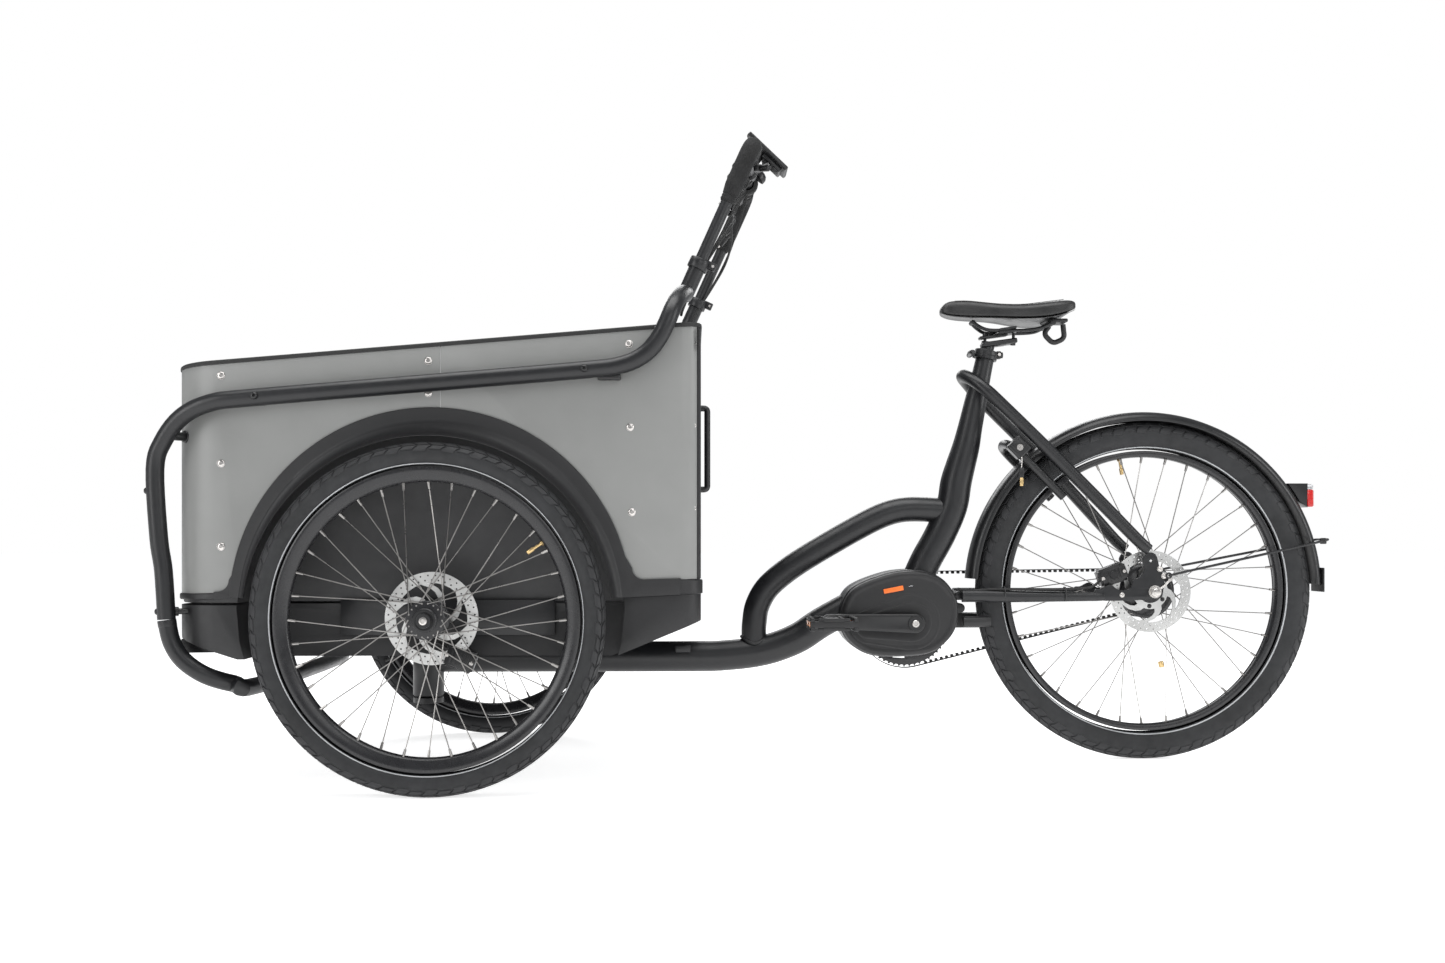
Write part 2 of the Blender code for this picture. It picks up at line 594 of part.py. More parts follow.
def seat_group():
    axis = (SEAT_TOP - SEAT_FOOT).normalized()
    collar_low, collar_high = SEAT_TOP - axis * 0.019, SEAT_TOP - axis * 0.001
    collar = rod("seat_collar", collar_low, collar_high, SEAT_TUBE_TOP_RADIUS + 0.0052,
                 FRAME_BLACK)
    tube_room = rod("collar_tube_room", collar_low - axis * 0.01, SEAT_TOP - axis * 0.0137,
                    SEAT_TUBE_TOP_RADIUS + 0.0006, FRAME_BLACK, helper=True)
    post_room = rod("collar_post_room", collar_low - axis * 0.01, collar_high + axis * 0.01,
                    SEATPOST_RADIUS + GAP, FRAME_BLACK, helper=True)
    middle = (collar_low + collar_high) / 2
    front = middle + Vector((-0.0285, 0.0, 0.0))
    rear = middle + Vector((0.020, 0.0, 0.0))
    lug = rod("collar_lug", rear, rear + Vector((0.014, 0, 0)), 0.006, FRAME_BLACK, True, 12)
    cam = rod("collar_cam_seat", middle + Vector((-0.0255, 0, 0)), middle + Vector((-0.02, 0, 0)),
              0.0055, FRAME_BLACK, True, 12)
    join(collar, lug, cam)
    cut(collar, tube_room, post_room)
    block("seat_lever", front + Vector((-0.011, -0.046, -0.0055)),
          front + Vector((0.0005, 0.002, 0.0055)), PLASTIC, rounding=0.003)
    post = rod("seatpost", SEAT_TOP - axis * 0.17, SEAT_TOP + axis * 0.016, SEATPOST_RADIUS,
               FRAME_BLACK)
    head = block("seatpost_head", (0.417, -0.017, 0.819), (0.486, 0.017, 0.833), FRAME_BLACK,
                 helper=True, turn=Matrix.Rotation(radians(-8), 4, "Y"), rounding=0.003)
    join(post, head)
    saddle_frame()
    saddle()


def saddle_frame():
    """Two bent rails in one clamp block, with the grab loop behind."""
    clamp = block("saddle_frame", (0.446, -0.028, 0.8420), (0.484, 0.028, 0.8560), STEEL,
                  rounding=0.002)
    for side, sign in (("left", -1), ("right", 1)):
        path = [(0.396, 0.008, 0.869), (0.412, 0.014, 0.856), (0.430, 0.021, 0.849),
                (0.500, 0.022, 0.849), (0.530, 0.030, 0.853), (0.552, 0.040, 0.8635)]
        join(clamp, tube("saddle_rail_" + side, [(x, sign * y, z) for x, y, z in path],
                         0.0035, STEEL, helper=True, bevel=2))
    cross = rod("rail_bridge", (0.550, -0.043, 0.8625), (0.550, 0.043, 0.8625), 0.006, PLASTIC,
                helper=True, sides=10)
    nose = rod("rail_nose", (0.3985, -0.012, 0.8665), (0.3985, 0.012, 0.8665), 0.0045, PLASTIC,
               helper=True, sides=10)
    loop_path = filleted([(0.552, 0, 0.860), (0.541, 0, 0.845), (0.560, 0, 0.826),
                          (0.583, 0, 0.836), (0.580, 0, 0.864)], 0.012, 3)
    loop = tube("grab_loop", loop_path, 0.0055, PLASTIC, helper=True, bevel=2)
    join(clamp, cross, nose, loop)


def saddle():
    """A padded saddle: rings of points across it, from nose to tail, with subdivision."""
    stations = [(0.331, 0.014, 0.897, 0.883), (0.345, 0.022, 0.909, 0.8780),
                (0.393, 0.026, 0.9110, 0.8755), (0.443, 0.036, 0.904, 0.875),
                (0.493, 0.060, 0.899, 0.873), (0.543, 0.080, 0.903, 0.875),
                (0.581, 0.078, 0.908, 0.882), (0.595, 0.060, 0.903, 0.889)]
    bm = bmesh.new()
    rings = []
    for x, half, top, bottom in stations:
        middle = (top + bottom) / 2
        rings.append([bm.verts.new(point) for point in (
            (x, 0, top), (x, half * 0.75, top - 0.002), (x, half, middle),
            (x, half * 0.7, bottom), (x, -half * 0.7, bottom), (x, -half, middle),
            (x, -half * 0.75, top - 0.002))])
    for ring, following in zip(rings, rings[1:]):
        for index in range(len(ring)):
            after = (index + 1) % len(ring)
            bm.faces.new((ring[index], ring[after], following[after], following[index]))
    bm.faces.new(rings[0])
    bm.faces.new(rings[-1])
    made = from_bmesh("saddle", bm, LEATHERETTE)
    smooth = made.modifiers.new("smooth", "SUBSURF")
    smooth.levels = smooth.render_levels = 1


# Rear mudguard, light, lock, brake.

def rear_fittings():
    axle = Vector((REAR_AXLE_X, 0, REAR_TYRE_RADIUS))
    section = [(-0.031, 0.338), (-0.028, 0.346), (-0.018, 0.3525), (0.0, 0.355), (0.018, 0.3525),
               (0.028, 0.346), (0.031, 0.338)]
    bm = bmesh.new()
    steps, first, last = 22, radians(176), radians(2)
    rows = []
    for step in range(steps + 1):
        angle = first + (last - first) * step / steps
        ray = Vector((cos(angle), 0, sin(angle)))
        rows.append([bm.verts.new(axle + ray * (reach + REAR_LIFT) + Vector((0, y, 0)))
                     for y, reach in section])
    for row, following in zip(rows, rows[1:]):
        for index in range(len(row) - 1):
            bm.faces.new((row[index], row[index + 1], following[index + 1], following[index]))
    guard = from_bmesh("rear_mudguard", bm, PLASTIC)
    shell = guard.modifiers.new("shell", "SOLIDIFY")
    shell.thickness = MUDGUARD_THICKNESS
    shell.offset = 0
    # The wire runs from one dropout round the outside of the mudguard to the other dropout.
    near = [(0.765, DROPOUT_Y + 0.0070, 0.366), (0.815, 0.0760, 0.377),
            (1.060, 0.0385, 0.4270)]
    behind = [(1.1020, 0.0310, 0.4360)]
    path = near + behind + [(x, -y, z) for x, y, z in reversed(near + behind)]
    path = [(x + REAR_SHIFT, y, z + REAR_LIFT) for x, y, z in path]
    tube("mudguard_stay", filleted(path, 0.012, 3), 0.0025, STEEL, bevel=2)
    moved = Vector((REAR_SHIFT, 0, REAR_LIFT))
    lamp = block("tail_light", moved + Vector((1.046, -0.018, 0.4995)),
                 moved + Vector((1.079, 0.018, 0.5480)), RED_LENS, rounding=0.003)
    cut(lamp, cross_rod("mudguard_room", axle.x, axle.z, -0.1, 0.1, MUDGUARD_RADIUS + 0.0022,
                        PLASTIC, helper=True, sides=96))
    frame_lock()
    disc_room = cross_rod("rear_disc_room", axle.x, axle.z, -0.0495, -0.0455,
                          DISC_RADIUS + 0.003, PLASTIC, helper=True, sides=32)
    caliper = block("rear_caliper", moved + Vector((0.634, -0.0665, 0.349)),
                    moved + Vector((0.690, -0.0345, 0.385)), FRAME_BLACK,
                    turn=Matrix.Rotation(radians(-20), 4, "Y"), rounding=0.004)
    cut(caliper, disc_room)


def frame_lock():
    """A horseshoe over the wheel, below the seat stays, with a key that hangs from it."""
    near = [(0.5690, 0.0475, 0.5190), (0.4890, 0.0475, 0.5985), (0.4700, 0.0400, 0.6175),
            (0.4640, 0.0200, 0.6235)]
    near = [reaching(x, y, z, SEAT_STAY_ROOT_X, SEAT_STAY_END_X) for x, y, z in near]
    path = [(x, -y, z) for x, y, z in near] + list(reversed(near))
    horseshoe = tube("frame_lock", path, 0.0090, PLASTIC)
    body = block("lock_body", LOCK_MOVED + Vector((0.461, -0.0640, 0.598)),
                 LOCK_MOVED + Vector((0.497, -0.0380, 0.632)), PLASTIC,
                 helper=True, turn=Matrix.Rotation(radians(45), 4, "Y"), rounding=0.004)
    join(horseshoe, body)
    block("lock_key", KEY_PIVOT - Vector((0.005, 0.0015, 0.036)),
          KEY_PIVOT + Vector((0.005, 0.0015, 0.0)), BRASS, rounding=0.0008)


# Front module.

def box_top(x):
    return BOX_TOP_FRONT + (x - BOX_FRONT) * BOX_TOP_SLOPE


def box_bottom(x):
    return BOX_BOTTOM + (x - BOX_FRONT) * BOX_BOTTOM_SLOPE


def band_bottom(x):
    return BAND_BOTTOM + (x - BOX_FRONT) * BAND_BOTTOM_SLOPE


def corner(x, y, radius, first, last, count):
    return [(x + radius * cos(first + (last - first) * step / (count - 1)),
             y + radius * sin(first + (last - first) * step / (count - 1)))
            for step in range(count)]


def box_path(inset):
    """Half the box's plan at +Y, in three stretches: front, side and rear."""
    front, rear, half = BOX_FRONT + inset, BOX_REAR - inset, BOX_HALF_WIDTH - inset
    front_radius, rear_radius = BOX_FRONT_CORNER - inset, max(BOX_REAR_CORNER - inset, 0.004)
    nose = [(front, 0)] + corner(front + front_radius, half - front_radius, front_radius,
                                 pi, pi / 2, 7) + [(BOX_SEAM_X, half)]
    wrap = radians(35)
    tail_centre = (rear - rear_radius, half - rear_radius)
    side = [(BOX_SEAM_X, half)] + corner(*tail_centre, rear_radius, pi / 2, wrap, 4)
    tail = corner(*tail_centre, rear_radius, wrap, 0, 3) + [(rear, 0)]
    return nose, side, tail


def mirrored(path):
    """The path with its mirror image, from -Y round to +Y."""
    return [(x, -y) for x, y in reversed(path)] + [point for point in path if point[1] > 0]


def whole_plan(inset):
    nose, side, tail = box_path(inset)
    half = nose + side[1:] + tail[1:]
    return half + [(x, -y) for x, y in reversed(half) if y > 0]


def shorten(path, by):
    """Takes a little off both ends, so that neighbours keep a gap."""
    path = [Vector(point) for point in path]
    for end, following in ((0, 1), (-1, -2)):
        path[end] = path[end] + (path[following] - path[end]).normalized() * by
    return [tuple(point) for point in path]


def wall(name, path, thickness, finish):
    """An upright wall along the path, between the box's sloping bottom and top."""
    bm = bmesh.new()
    rows = [[bm.verts.new((x, y, height(x))) for x, y in path]
            for height in (box_bottom, box_top)]
    for index in range(len(path) - 1):
        bm.faces.new((rows[0][index], rows[0][index + 1], rows[1][index + 1], rows[1][index]))
    made = from_bmesh(name, bm, finish)
    solid = made.modifiers.new("thickness", "SOLIDIFY")
    solid.thickness = thickness
    solid.offset = 0
    return made


def wells(name, radius, face, helper=True):
    """Two round cutters, one for each front wheel's well."""
    return [cross_rod(f"{name}_{sign}", FRONT_AXLE_X, ARCH_Z, *sorted((sign * face, sign * 0.6)),
                      radius, PLASTIC, helper, 36) for sign in (-1, 1)]


def sloped_slab(name, outline, low, lift, helper=True):
    """A slab whose top follows the box's sloping top."""
    made = slab(name, outline, low, low + 1, PLASTIC, helper)
    for vertex in made.data.vertices:
        if vertex.co.z > low + 0.5:
            vertex.co.z = box_top(vertex.co.x) + lift
    return made


def cargo_box():
    well_cut = wells("well_cut", WELL_RADIUS, WELL_FACE)
    half = PANEL_THICKNESS / 2
    nose, side, tail = box_path(half)
    panels = [wall("panel_front", mirrored(nose), PANEL_THICKNESS, PANEL_GREY)]
    for name, sign in (("panel_left", -1), ("panel_right", 1)):
        path = [(x, sign * y) for x, y in shorten(side, 0.0008)]
        panels.append(wall(name, path, PANEL_THICKNESS, PANEL_GREY))
    wall("panel_rear", shorten(mirrored(tail[::-1]), 0.0008), PANEL_THICKNESS, PLASTIC)
    for panel in panels:
        cut(panel, *well_cut[:1 if panel.name == "panel_left" else 2]
            if panel.name != "panel_right" else well_cut[1:])
    inset = PANEL_THICKNESS + GAP
    liner = sloped_slab("cargo_liner", whole_plan(inset), FLOOR_BOTTOM, -0.001, helper=False)
    cavity = sloped_slab("liner_cavity", whole_plan(inset + LINER_THICKNESS),
                         FLOOR_BOTTOM + LINER_THICKNESS, 0.05)
    cut(cavity, *wells("well_wall", WELL_RADIUS + LINER_THICKNESS, WELL_FACE - LINER_THICKNESS))
    cut(liner, cavity, *well_cut)
    plan = whole_plan(inset + LINER_THICKNESS / 2)
    tube("top_trim", [(x, y, box_top(x) + TRIM_RADIUS + GAP) for x, y in plan], TRIM_RADIUS,
         RUBBER, bevel=2, closed=True)
    tray(well_cut)
    for side_name, sign in (("left", -1), ("right", 1)):
        wheel_arch(side_name, sign)


def tray(well_cut):
    """The moulded tray under the floor, open below in the middle for the frame's tube."""
    over = TRAY_TOP + 0.05
    made = slab("base_tray", whole_plan(0), TRAY_BOTTOM, over, PLASTIC)
    cavity = slab("tray_cavity", whole_plan(TRAY_WALL), TRAY_BOTTOM + TRAY_WALL, over + 0.01,
                  PLASTIC, helper=True)
    rise = (BOX_REAR + 0.01 - BOX_SEAM_X) * TRAY_TOP_SLOPE
    above = [(BOX_FRONT - 0.01, TRAY_TOP), (BOX_SEAM_X, TRAY_TOP),
             (BOX_REAR + 0.01, TRAY_TOP + rise), (BOX_REAR + 0.01, over + 0.02),
             (BOX_FRONT - 0.01, over + 0.02)]
    for target, shift in ((made, 0), (cavity, TRAY_WALL)):
        front = [(BOX_FRONT - 0.01, TRAY_BOTTOM - 0.03), (BOX_FRONT - 0.01, 0.272 + RIDE + shift),
                 (-0.935, TRAY_BOTTOM + shift), (-0.935, TRAY_BOTTOM - 0.03)]
        rear = [(-0.300, TRAY_BOTTOM - 0.03), (-0.300, TRAY_BOTTOM + shift),
                (BOX_REAR + 0.01, 0.300 + RIDE + shift), (BOX_REAR + 0.01, TRAY_BOTTOM - 0.03)]
        for end, outline in (("front", front), ("rear", rear)):
            cut(target, plate(f"{target.name}_{end}_wedge", [outline], -0.5, 0.5, PLASTIC,
                              helper=True))
    cut(cavity, *wells("tray_well", WELL_RADIUS + TRAY_WALL, WELL_FACE - LINER_THICKNESS))
    room = WELL_FACE - 0.043
    opening = block("tray_opening", (-0.90, -room, TRAY_BOTTOM - 0.08),
                    (-0.20, room, TRAY_BOTTOM + 0.079), PLASTIC, helper=True)
    reach = BOX_HALF_WIDTH - 0.005
    axle_holes = cross_rod("axle_holes", FRONT_AXLE_X, FRONT_TYRE_RADIUS, -reach, reach, 0.0215,
                           PLASTIC, helper=True)
    above_tray = plate("above_tray", [above], -0.5, 0.5, PLASTIC, helper=True)
    liner_room = slab("liner_room", whole_plan(PANEL_THICKNESS), TRAY_TOP, over + 0.01, PLASTIC,
                      helper=True)
    cut(made, cavity, *well_cut, opening, axle_holes, above_tray, liner_room)


def wheel_arch(side, sign):
    """A mudguard moulding that lies flat on the panel and dishes out over the tyre."""
    lip_radius = FRONT_TYRE_RADIUS + ARCH_CLEARANCE
    foot = band_bottom(FRONT_AXLE_X)
    ring_starts = [atan2(foot - ARCH_Z, ARCH_RADIUS), atan2(foot - FRONT_TYRE_RADIUS, lip_radius)]
    profile = [(0.0, 0.0023), (0.5, 0.0023), (0.66, 0.0060), (0.82, 0.0160), (1.0, 0.0350)]
    bm = bmesh.new()
    steps = 18
    rows = []
    for step in range(steps + 1):
        ends = []
        for start, centre_z, radius in ((ring_starts[0], ARCH_Z, ARCH_RADIUS),
                                        (ring_starts[1], FRONT_TYRE_RADIUS, lip_radius)):
            angle = start + (pi - 2 * start) * step / steps
            ends.append(Vector((FRONT_AXLE_X + radius * cos(angle), 0,
                                centre_z + radius * sin(angle))))
        rows.append([bm.verts.new(ends[0].lerp(ends[1], share)
                                  + Vector((0, sign * (BOX_HALF_WIDTH + out), 0)))
                     for share, out in profile])
    for row, following in zip(rows, rows[1:]):
        for index in range(len(row) - 1):
            bm.faces.new((row[index], row[index + 1], following[index + 1], following[index]))
    made = from_bmesh("wheel_arch_" + side, bm, PLASTIC)
    shell = made.modifiers.new("shell", "SOLIDIFY")
    shell.thickness = ARCH_THICKNESS
    shell.offset = 0
    middle = BOX_HALF_WIDTH + profile[0][1]
    band_share = 0.48  # of the arch's thickness, each way: its faces stay inside the arch's
    low, high = sorted(sign * (middle + out * band_share * ARCH_THICKNESS) for out in (-1, 1))
    stops = {"front": BOX_FRONT + BOX_FRONT_CORNER, "rear": BOX_REAR - BOX_REAR_CORNER}
    for end, stop in stops.items():
        away = 1 if end == "rear" else -1
        root = FRONT_AXLE_X + away * (ARCH_RADIUS - ARCH_FILLET / 2)
        rim = FRONT_AXLE_X + away * ARCH_RADIUS
        outline = [(root, band_bottom(root)), (stop, band_bottom(stop)),
                   (stop, box_bottom(stop) + BAND_LAP)]
        centre = rim + away * ARCH_FILLET
        lifted = box_bottom(centre) + BAND_LAP + ARCH_FILLET
        outline += [(centre - away * ARCH_FILLET * sin(radians(turn)),
                     lifted - ARCH_FILLET * cos(radians(turn))) for turn in (0, 22, 45, 67, 86)]
        outline.append((root, lifted))
        join(made, plate(f"arch_band_{end}_{side}", [outline], low, high, PLASTIC, helper=True))


def axle_group():
    x, z = FRONT_AXLE_X, FRONT_TYRE_RADIUS
    face = WELL_FACE
    beam = cross_rod("axle_beam", x, z, -face - 0.0035, face + 0.0035, 0.020, FRAME_BLACK)
    half = HALF_TRACK - 0.038
    for side, sign in (("left", -1), ("right", 1)):
        low, high = sorted((sign * (face - 0.003), sign * (HALF_TRACK + 0.0420)))
        stub = cross_rod("stub_axle_" + side, x, z, low, high, AXLE_RADIUS, STEEL, True, 16)
        low, high = sorted((sign * (HALF_TRACK + 0.0373), sign * (HALF_TRACK + 0.0450)))
        cap = cross_rod("stub_cap_" + side, x, z, low, high, 0.0125, FRAME_BLACK, True, 16)
        low, high = sorted((sign * (face + 0.001), sign * (face + 0.007)))
        cheek = block("cheek_" + side, (x - 0.170, low, z - 0.0325), (x + 0.205, high, z + 0.0295),
                      FRAME_BLACK, helper=True)
        low, high = sorted((sign * (face + 0.006), sign * (half - RUNNING)))
        spacer = cross_rod("stub_spacer_" + side, x, z, low, high, 0.014, FRAME_BLACK, True, 16)
        join(beam, cheek, spacer, stub, cap)
    bracket = block("kingpin_bracket", (KINGPIN_X - 0.045, -0.045, z - 0.0385),
                    (x + 0.01, 0.045, z - 0.0005), FRAME_BLACK, helper=True)
    pin = rod("kingpin", (KINGPIN_X, 0, KINGPIN_BOTTOM + 0.004), (KINGPIN_X, 0, z - 0.0205),
              KINGPIN_RADIUS, STEEL, helper=True)
    cap = rod("kingpin_cap", (KINGPIN_X, 0, KINGPIN_BOTTOM), (KINGPIN_X, 0, KINGPIN_BOTTOM + 0.0105), 0.030,
              FRAME_BLACK, helper=True)
    join(beam, bracket, pin, cap)
    for side, sign in (("left", -1), ("right", 1)):
        disc_y = sign * (HALF_TRACK - 0.0345)
        low, high = sorted((sign * (HALF_TRACK - 0.0550), sign * (HALF_TRACK - 0.0285)))
        caliper = block("front_caliper_" + side, (x + 0.020, low, z - 0.0885),
                        (x + 0.075, high, z - 0.0505),
                        FRAME_BLACK, turn=Matrix.Rotation(radians(20), 4, "Y"), rounding=0.004)
        low, high = sorted((sign * (face + 0.008), sign * (HALF_TRACK - 0.0530)))
        foot = block("caliper_foot_" + side, (x + 0.045, low, z - 0.0785),
                     (x + 0.060, high, z - 0.0605), FRAME_BLACK, helper=True)
        join(caliper, foot)
        cut(caliper, cross_rod("front_disc_room_" + side, x, z, disc_y - 0.002, disc_y + 0.002,
                               DISC_RADIUS + 0.003, PLASTIC, helper=True, sides=32))


def spread(y):
    """A bar's distance from the middle plane, which follows the box's width."""
    inner, drawn = HANDLEBAR_HALF_WIDTH, 0.386
    return inner + (y - inner) * (BOX_HALF_WIDTH + 0.021 - inner) / (drawn - inner)


def bars():
    """Two side bars that end in the handlebar's collars, and the lower loop that joins them."""
    direction = (HANDLEBAR_TOP - COLLAR_POINT).normalized()
    half = HANDLEBAR_HALF_WIDTH
    straight_foot = COLLAR_POINT - direction * 0.062
    for side, sign in (("left", -1), ("right", 1)):
        run = [(-1.0540, 0.366, 0.3000), (-1.0590, 0.366, 0.3820), (-1.0670, 0.366, 0.4390),
               (-1.0730, 0.367, 0.5560), (-1.0580, 0.371, 0.6030), (-1.0240, 0.378, 0.6440),
               (-0.9750, 0.384, 0.6670), (-0.9060, 0.386, 0.6760), (-0.3490, 0.386, 0.7240),
               (-0.2800, 0.386, 0.7330), (-0.2420, 0.386, 0.7500), (-0.2180, 0.386, 0.7750),
               (-0.2020, 0.386, 0.8050), (-0.1930, 0.379, 0.8280), (-0.1850, 0.357, 0.8480),
               (-0.1780, 0.320, 0.8640), (-0.1730, 0.270, 0.8760), (-0.1705, 0.2320, 0.8830),
               (straight_foot.x, half, straight_foot.z),
               (COLLAR_POINT.x, half, COLLAR_POINT.z)]
        run = [(x, sign * spread(y), z + RIDE) for x, y, z in run[:-2]] + [
            (x, sign * y, z) for x, y, z in run[-2:]]
        bar = tube("side_bar_" + side, run, BAR_RADIUS, FRAME_BLACK)
        top = Vector((COLLAR_POINT.x, sign * half, COLLAR_POINT.z))
        collar = rod("bar_collar_" + side, top - direction * 0.018, top + direction * 0.002,
                     BAR_RADIUS + 0.004, FRAME_BLACK, helper=True)
        bore = rod("bar_bore_" + side, top - direction * 0.056, top + direction * 0.02,
                   HANDLEBAR_RADIUS + GAP, FRAME_BLACK, helper=True)
        cut(join(bar, collar), bore)
    near = [(-1.0533, 0.366, 0.2960), (-1.0450, 0.366, 0.2610), (-1.0253, 0.366, 0.2300),
            (-0.9900, 0.360, 0.2040), (-0.9500, 0.335, 0.1870), (-0.9250, 0.290, 0.1790)]
    near = [(x, spread(y), z + RIDE) for x, y, z in near]
    path = [(x, -y, z) for x, y, z in near] + list(reversed(near))
    tube("bumper_loop", path, BAR_RADIUS, FRAME_BLACK)
    wedge = [(-1.042, 0.2640), (-1.042, 0.2450), (-1.034, 0.2397), (-0.975, 0.2405),
             (-0.975, 0.2424)]
    plate("headlight", [[(x, z + RIDE) for x, z in wedge]], -BOX_HALF_WIDTH + 0.035,
          -BOX_HALF_WIDTH + 0.095, PLASTIC)


def handlebar():
    direction = (HANDLEBAR_TOP - COLLAR_POINT).normalized()
    half = HANDLEBAR_HALF_WIDTH
    foot = COLLAR_POINT - direction * 0.050
    corners = [(foot.x, -half, foot.z), (HANDLEBAR_TOP.x, -half, HANDLEBAR_TOP.z),
               (HANDLEBAR_TOP.x, half, HANDLEBAR_TOP.z), (foot.x, half, foot.z)]
    bar = tube("handlebar", filleted(corners, 0.045, 4), HANDLEBAR_RADIUS, FRAME_BLACK)
    top = HANDLEBAR_TOP
    forward = LEVER_FORWARD
    pull = forward.cross(Vector((0, 1, 0)))
    turn = Matrix((forward, (0, 1, 0), pull)).transposed().to_4x4()
    for side, sign in (("left", -1), ("right", 1)):
        y = sign * LEVER_Y
        grip_y = sorted((y - sign * 0.009, y + sign * 0.009))
        clamp = cross_rod("lever_clamp_" + side, top.x, top.z, *grip_y, 0.016, PLASTIC, True)
        centre = top + forward * 0.030 + Vector((0, y, 0))
        size = Vector((0.040, 0.016, 0.014))
        arm = block("lever_arm_" + side, centre - size / 2, centre + size / 2, PLASTIC,
                    helper=True, turn=turn)
        join(bar, clamp, arm)
        pivot = top + forward * LEVER_REACH + Vector((0, y, 0))
        low, high = sorted((sign * 0.045, y + sign * 0.006))
        block("brake_lever_" + side, (pivot.x - 0.0055, low, pivot.z - 0.003),
              (pivot.x + 0.0055, high, pivot.z + 0.003), STEEL, turn=turn, rounding=0.0015)
    screen_centre = HANDLEBAR_TOP + Vector((0.0365, 0, 0.0365))
    tilt = Matrix.Rotation(radians(43.4), 4, "Y")
    size = Vector((0.103, 0.066, 0.009))
    display = block("display", screen_centre - size / 2, screen_centre + size / 2, PLASTIC,
                    turn=tilt, rounding=0.003)
    stem = rod("display_stem", screen_centre, top, 0.008, PLASTIC, helper=True, sides=12)
    eye = cross_rod("display_eye", top.x, top.z, -0.012, 0.012, 0.0165, PLASTIC, True)
    eye_bore = cross_rod("display_bore", top.x, top.z, -0.02, 0.02, HANDLEBAR_RADIUS + GAP,
                         PLASTIC, True)
    cut(join(display, stem, eye), eye_bore)


# Moving bodies.

def pivots():
    """Each moving body: the point on its joint's axis, its parent body and its pieces."""
    rear_axle = (REAR_AXLE_X, 0, REAR_TYRE_RADIUS)
    crank = (CRANK_X, 0, CRANK_Z)
    collar_front = SEAT_TOP + (SEAT_FOOT - SEAT_TOP).normalized() * 0.010
    bodies = {
        "front_module": ((KINGPIN_X, 0, MAIN_TUBE_Z), None, [
            "axle_beam", "base_tray", "cargo_liner", "panel_front", "panel_left", "panel_right",
            "panel_rear", "top_trim", "wheel_arch_left", "wheel_arch_right", "side_bar_left",
            "side_bar_right", "bumper_loop", "front_caliper_left", "front_caliper_right",
            "headlight"]),
        "rear_wheel": (rear_axle, None, ["rear_tyre", "rear_rim", "rear_hub", "rear_disc"]),
        "belt_pulley": (rear_axle, None, ["rear_sprocket"]),
        "crankset": (crank, None, ["crank_spindle", "crank_left", "crank_right",
                                   "front_sprocket"]),
        "seat": (SEAT_TOP, None, ["seatpost", "saddle_frame", "saddle"]),
        "seat_quick_release": (collar_front + Vector((-0.0285, 0, 0)), None, ["seat_lever"]),
        "hanging_key": (KEY_PIVOT, None, ["lock_key"]),
        "handlebar_slide": (COLLAR_POINT, "front_module", ["handlebar"]),
        "screen": (HANDLEBAR_TOP, "handlebar_slide", ["display"]),
    }
    for side, sign in (("left", -1), ("right", 1)):
        bodies["front_wheel_" + side] = (
            (FRONT_AXLE_X, sign * HALF_TRACK, FRONT_TYRE_RADIUS), "front_module",
            [f"front_{piece}_{side}" for piece in ("tyre", "rim", "hub", "disc")])
        tip = (CRANK_X + sign * CRANK_LENGTH, sign * CRANK_Y, CRANK_Z - sign * PEDAL_RISE)
        bodies["pedal_turn_" + side] = (tip, "crankset", ["pedal_" + side])
        lever = HANDLEBAR_TOP + LEVER_FORWARD * LEVER_REACH + Vector((0, sign * LEVER_Y, 0))
        bodies["lever_" + side] = (lever, "handlebar_slide", ["brake_lever_" + side])
    return bodies


def parent_to(child, parent):
    child.parent = parent
    child.matrix_parent_inverse = parent.matrix_world.inverted()


def rig():
    empties = {}
    bodies = pivots()
    for name, (point, _, _) in bodies.items():
        empties[name] = bpy.data.objects.new(name, None)
        empties[name].empty_display_size = 0.05
        empties[name].location = point
        PARTS.objects.link(empties[name])
    bpy.context.view_layer.update()
    for name, (_, parent, pieces) in bodies.items():
        if parent:
            parent_to(empties[name], empties[parent])
        for piece in pieces:
            parent_to(bpy.data.objects[piece], empties[name])


for wheel_side, wheel_sign in (("left", -1), ("right", 1)):
    front_wheel(wheel_side, wheel_sign)
rear_wheel()
stays(frame_tubes())
drive()
seat_group()
rear_fittings()
cargo_box()
axle_group()
bars()
handlebar()
rig()
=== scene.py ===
"""The cargo bicycle's looks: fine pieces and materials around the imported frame.

Metres, in the frame's own coordinates: +Z up, +X to the rear, so the rider's left is -Y.
"""

import json
from math import acos, atan2, cos, hypot, pi, radians, sin, tan

import bmesh
import bpy
from mathutils import Matrix, Vector

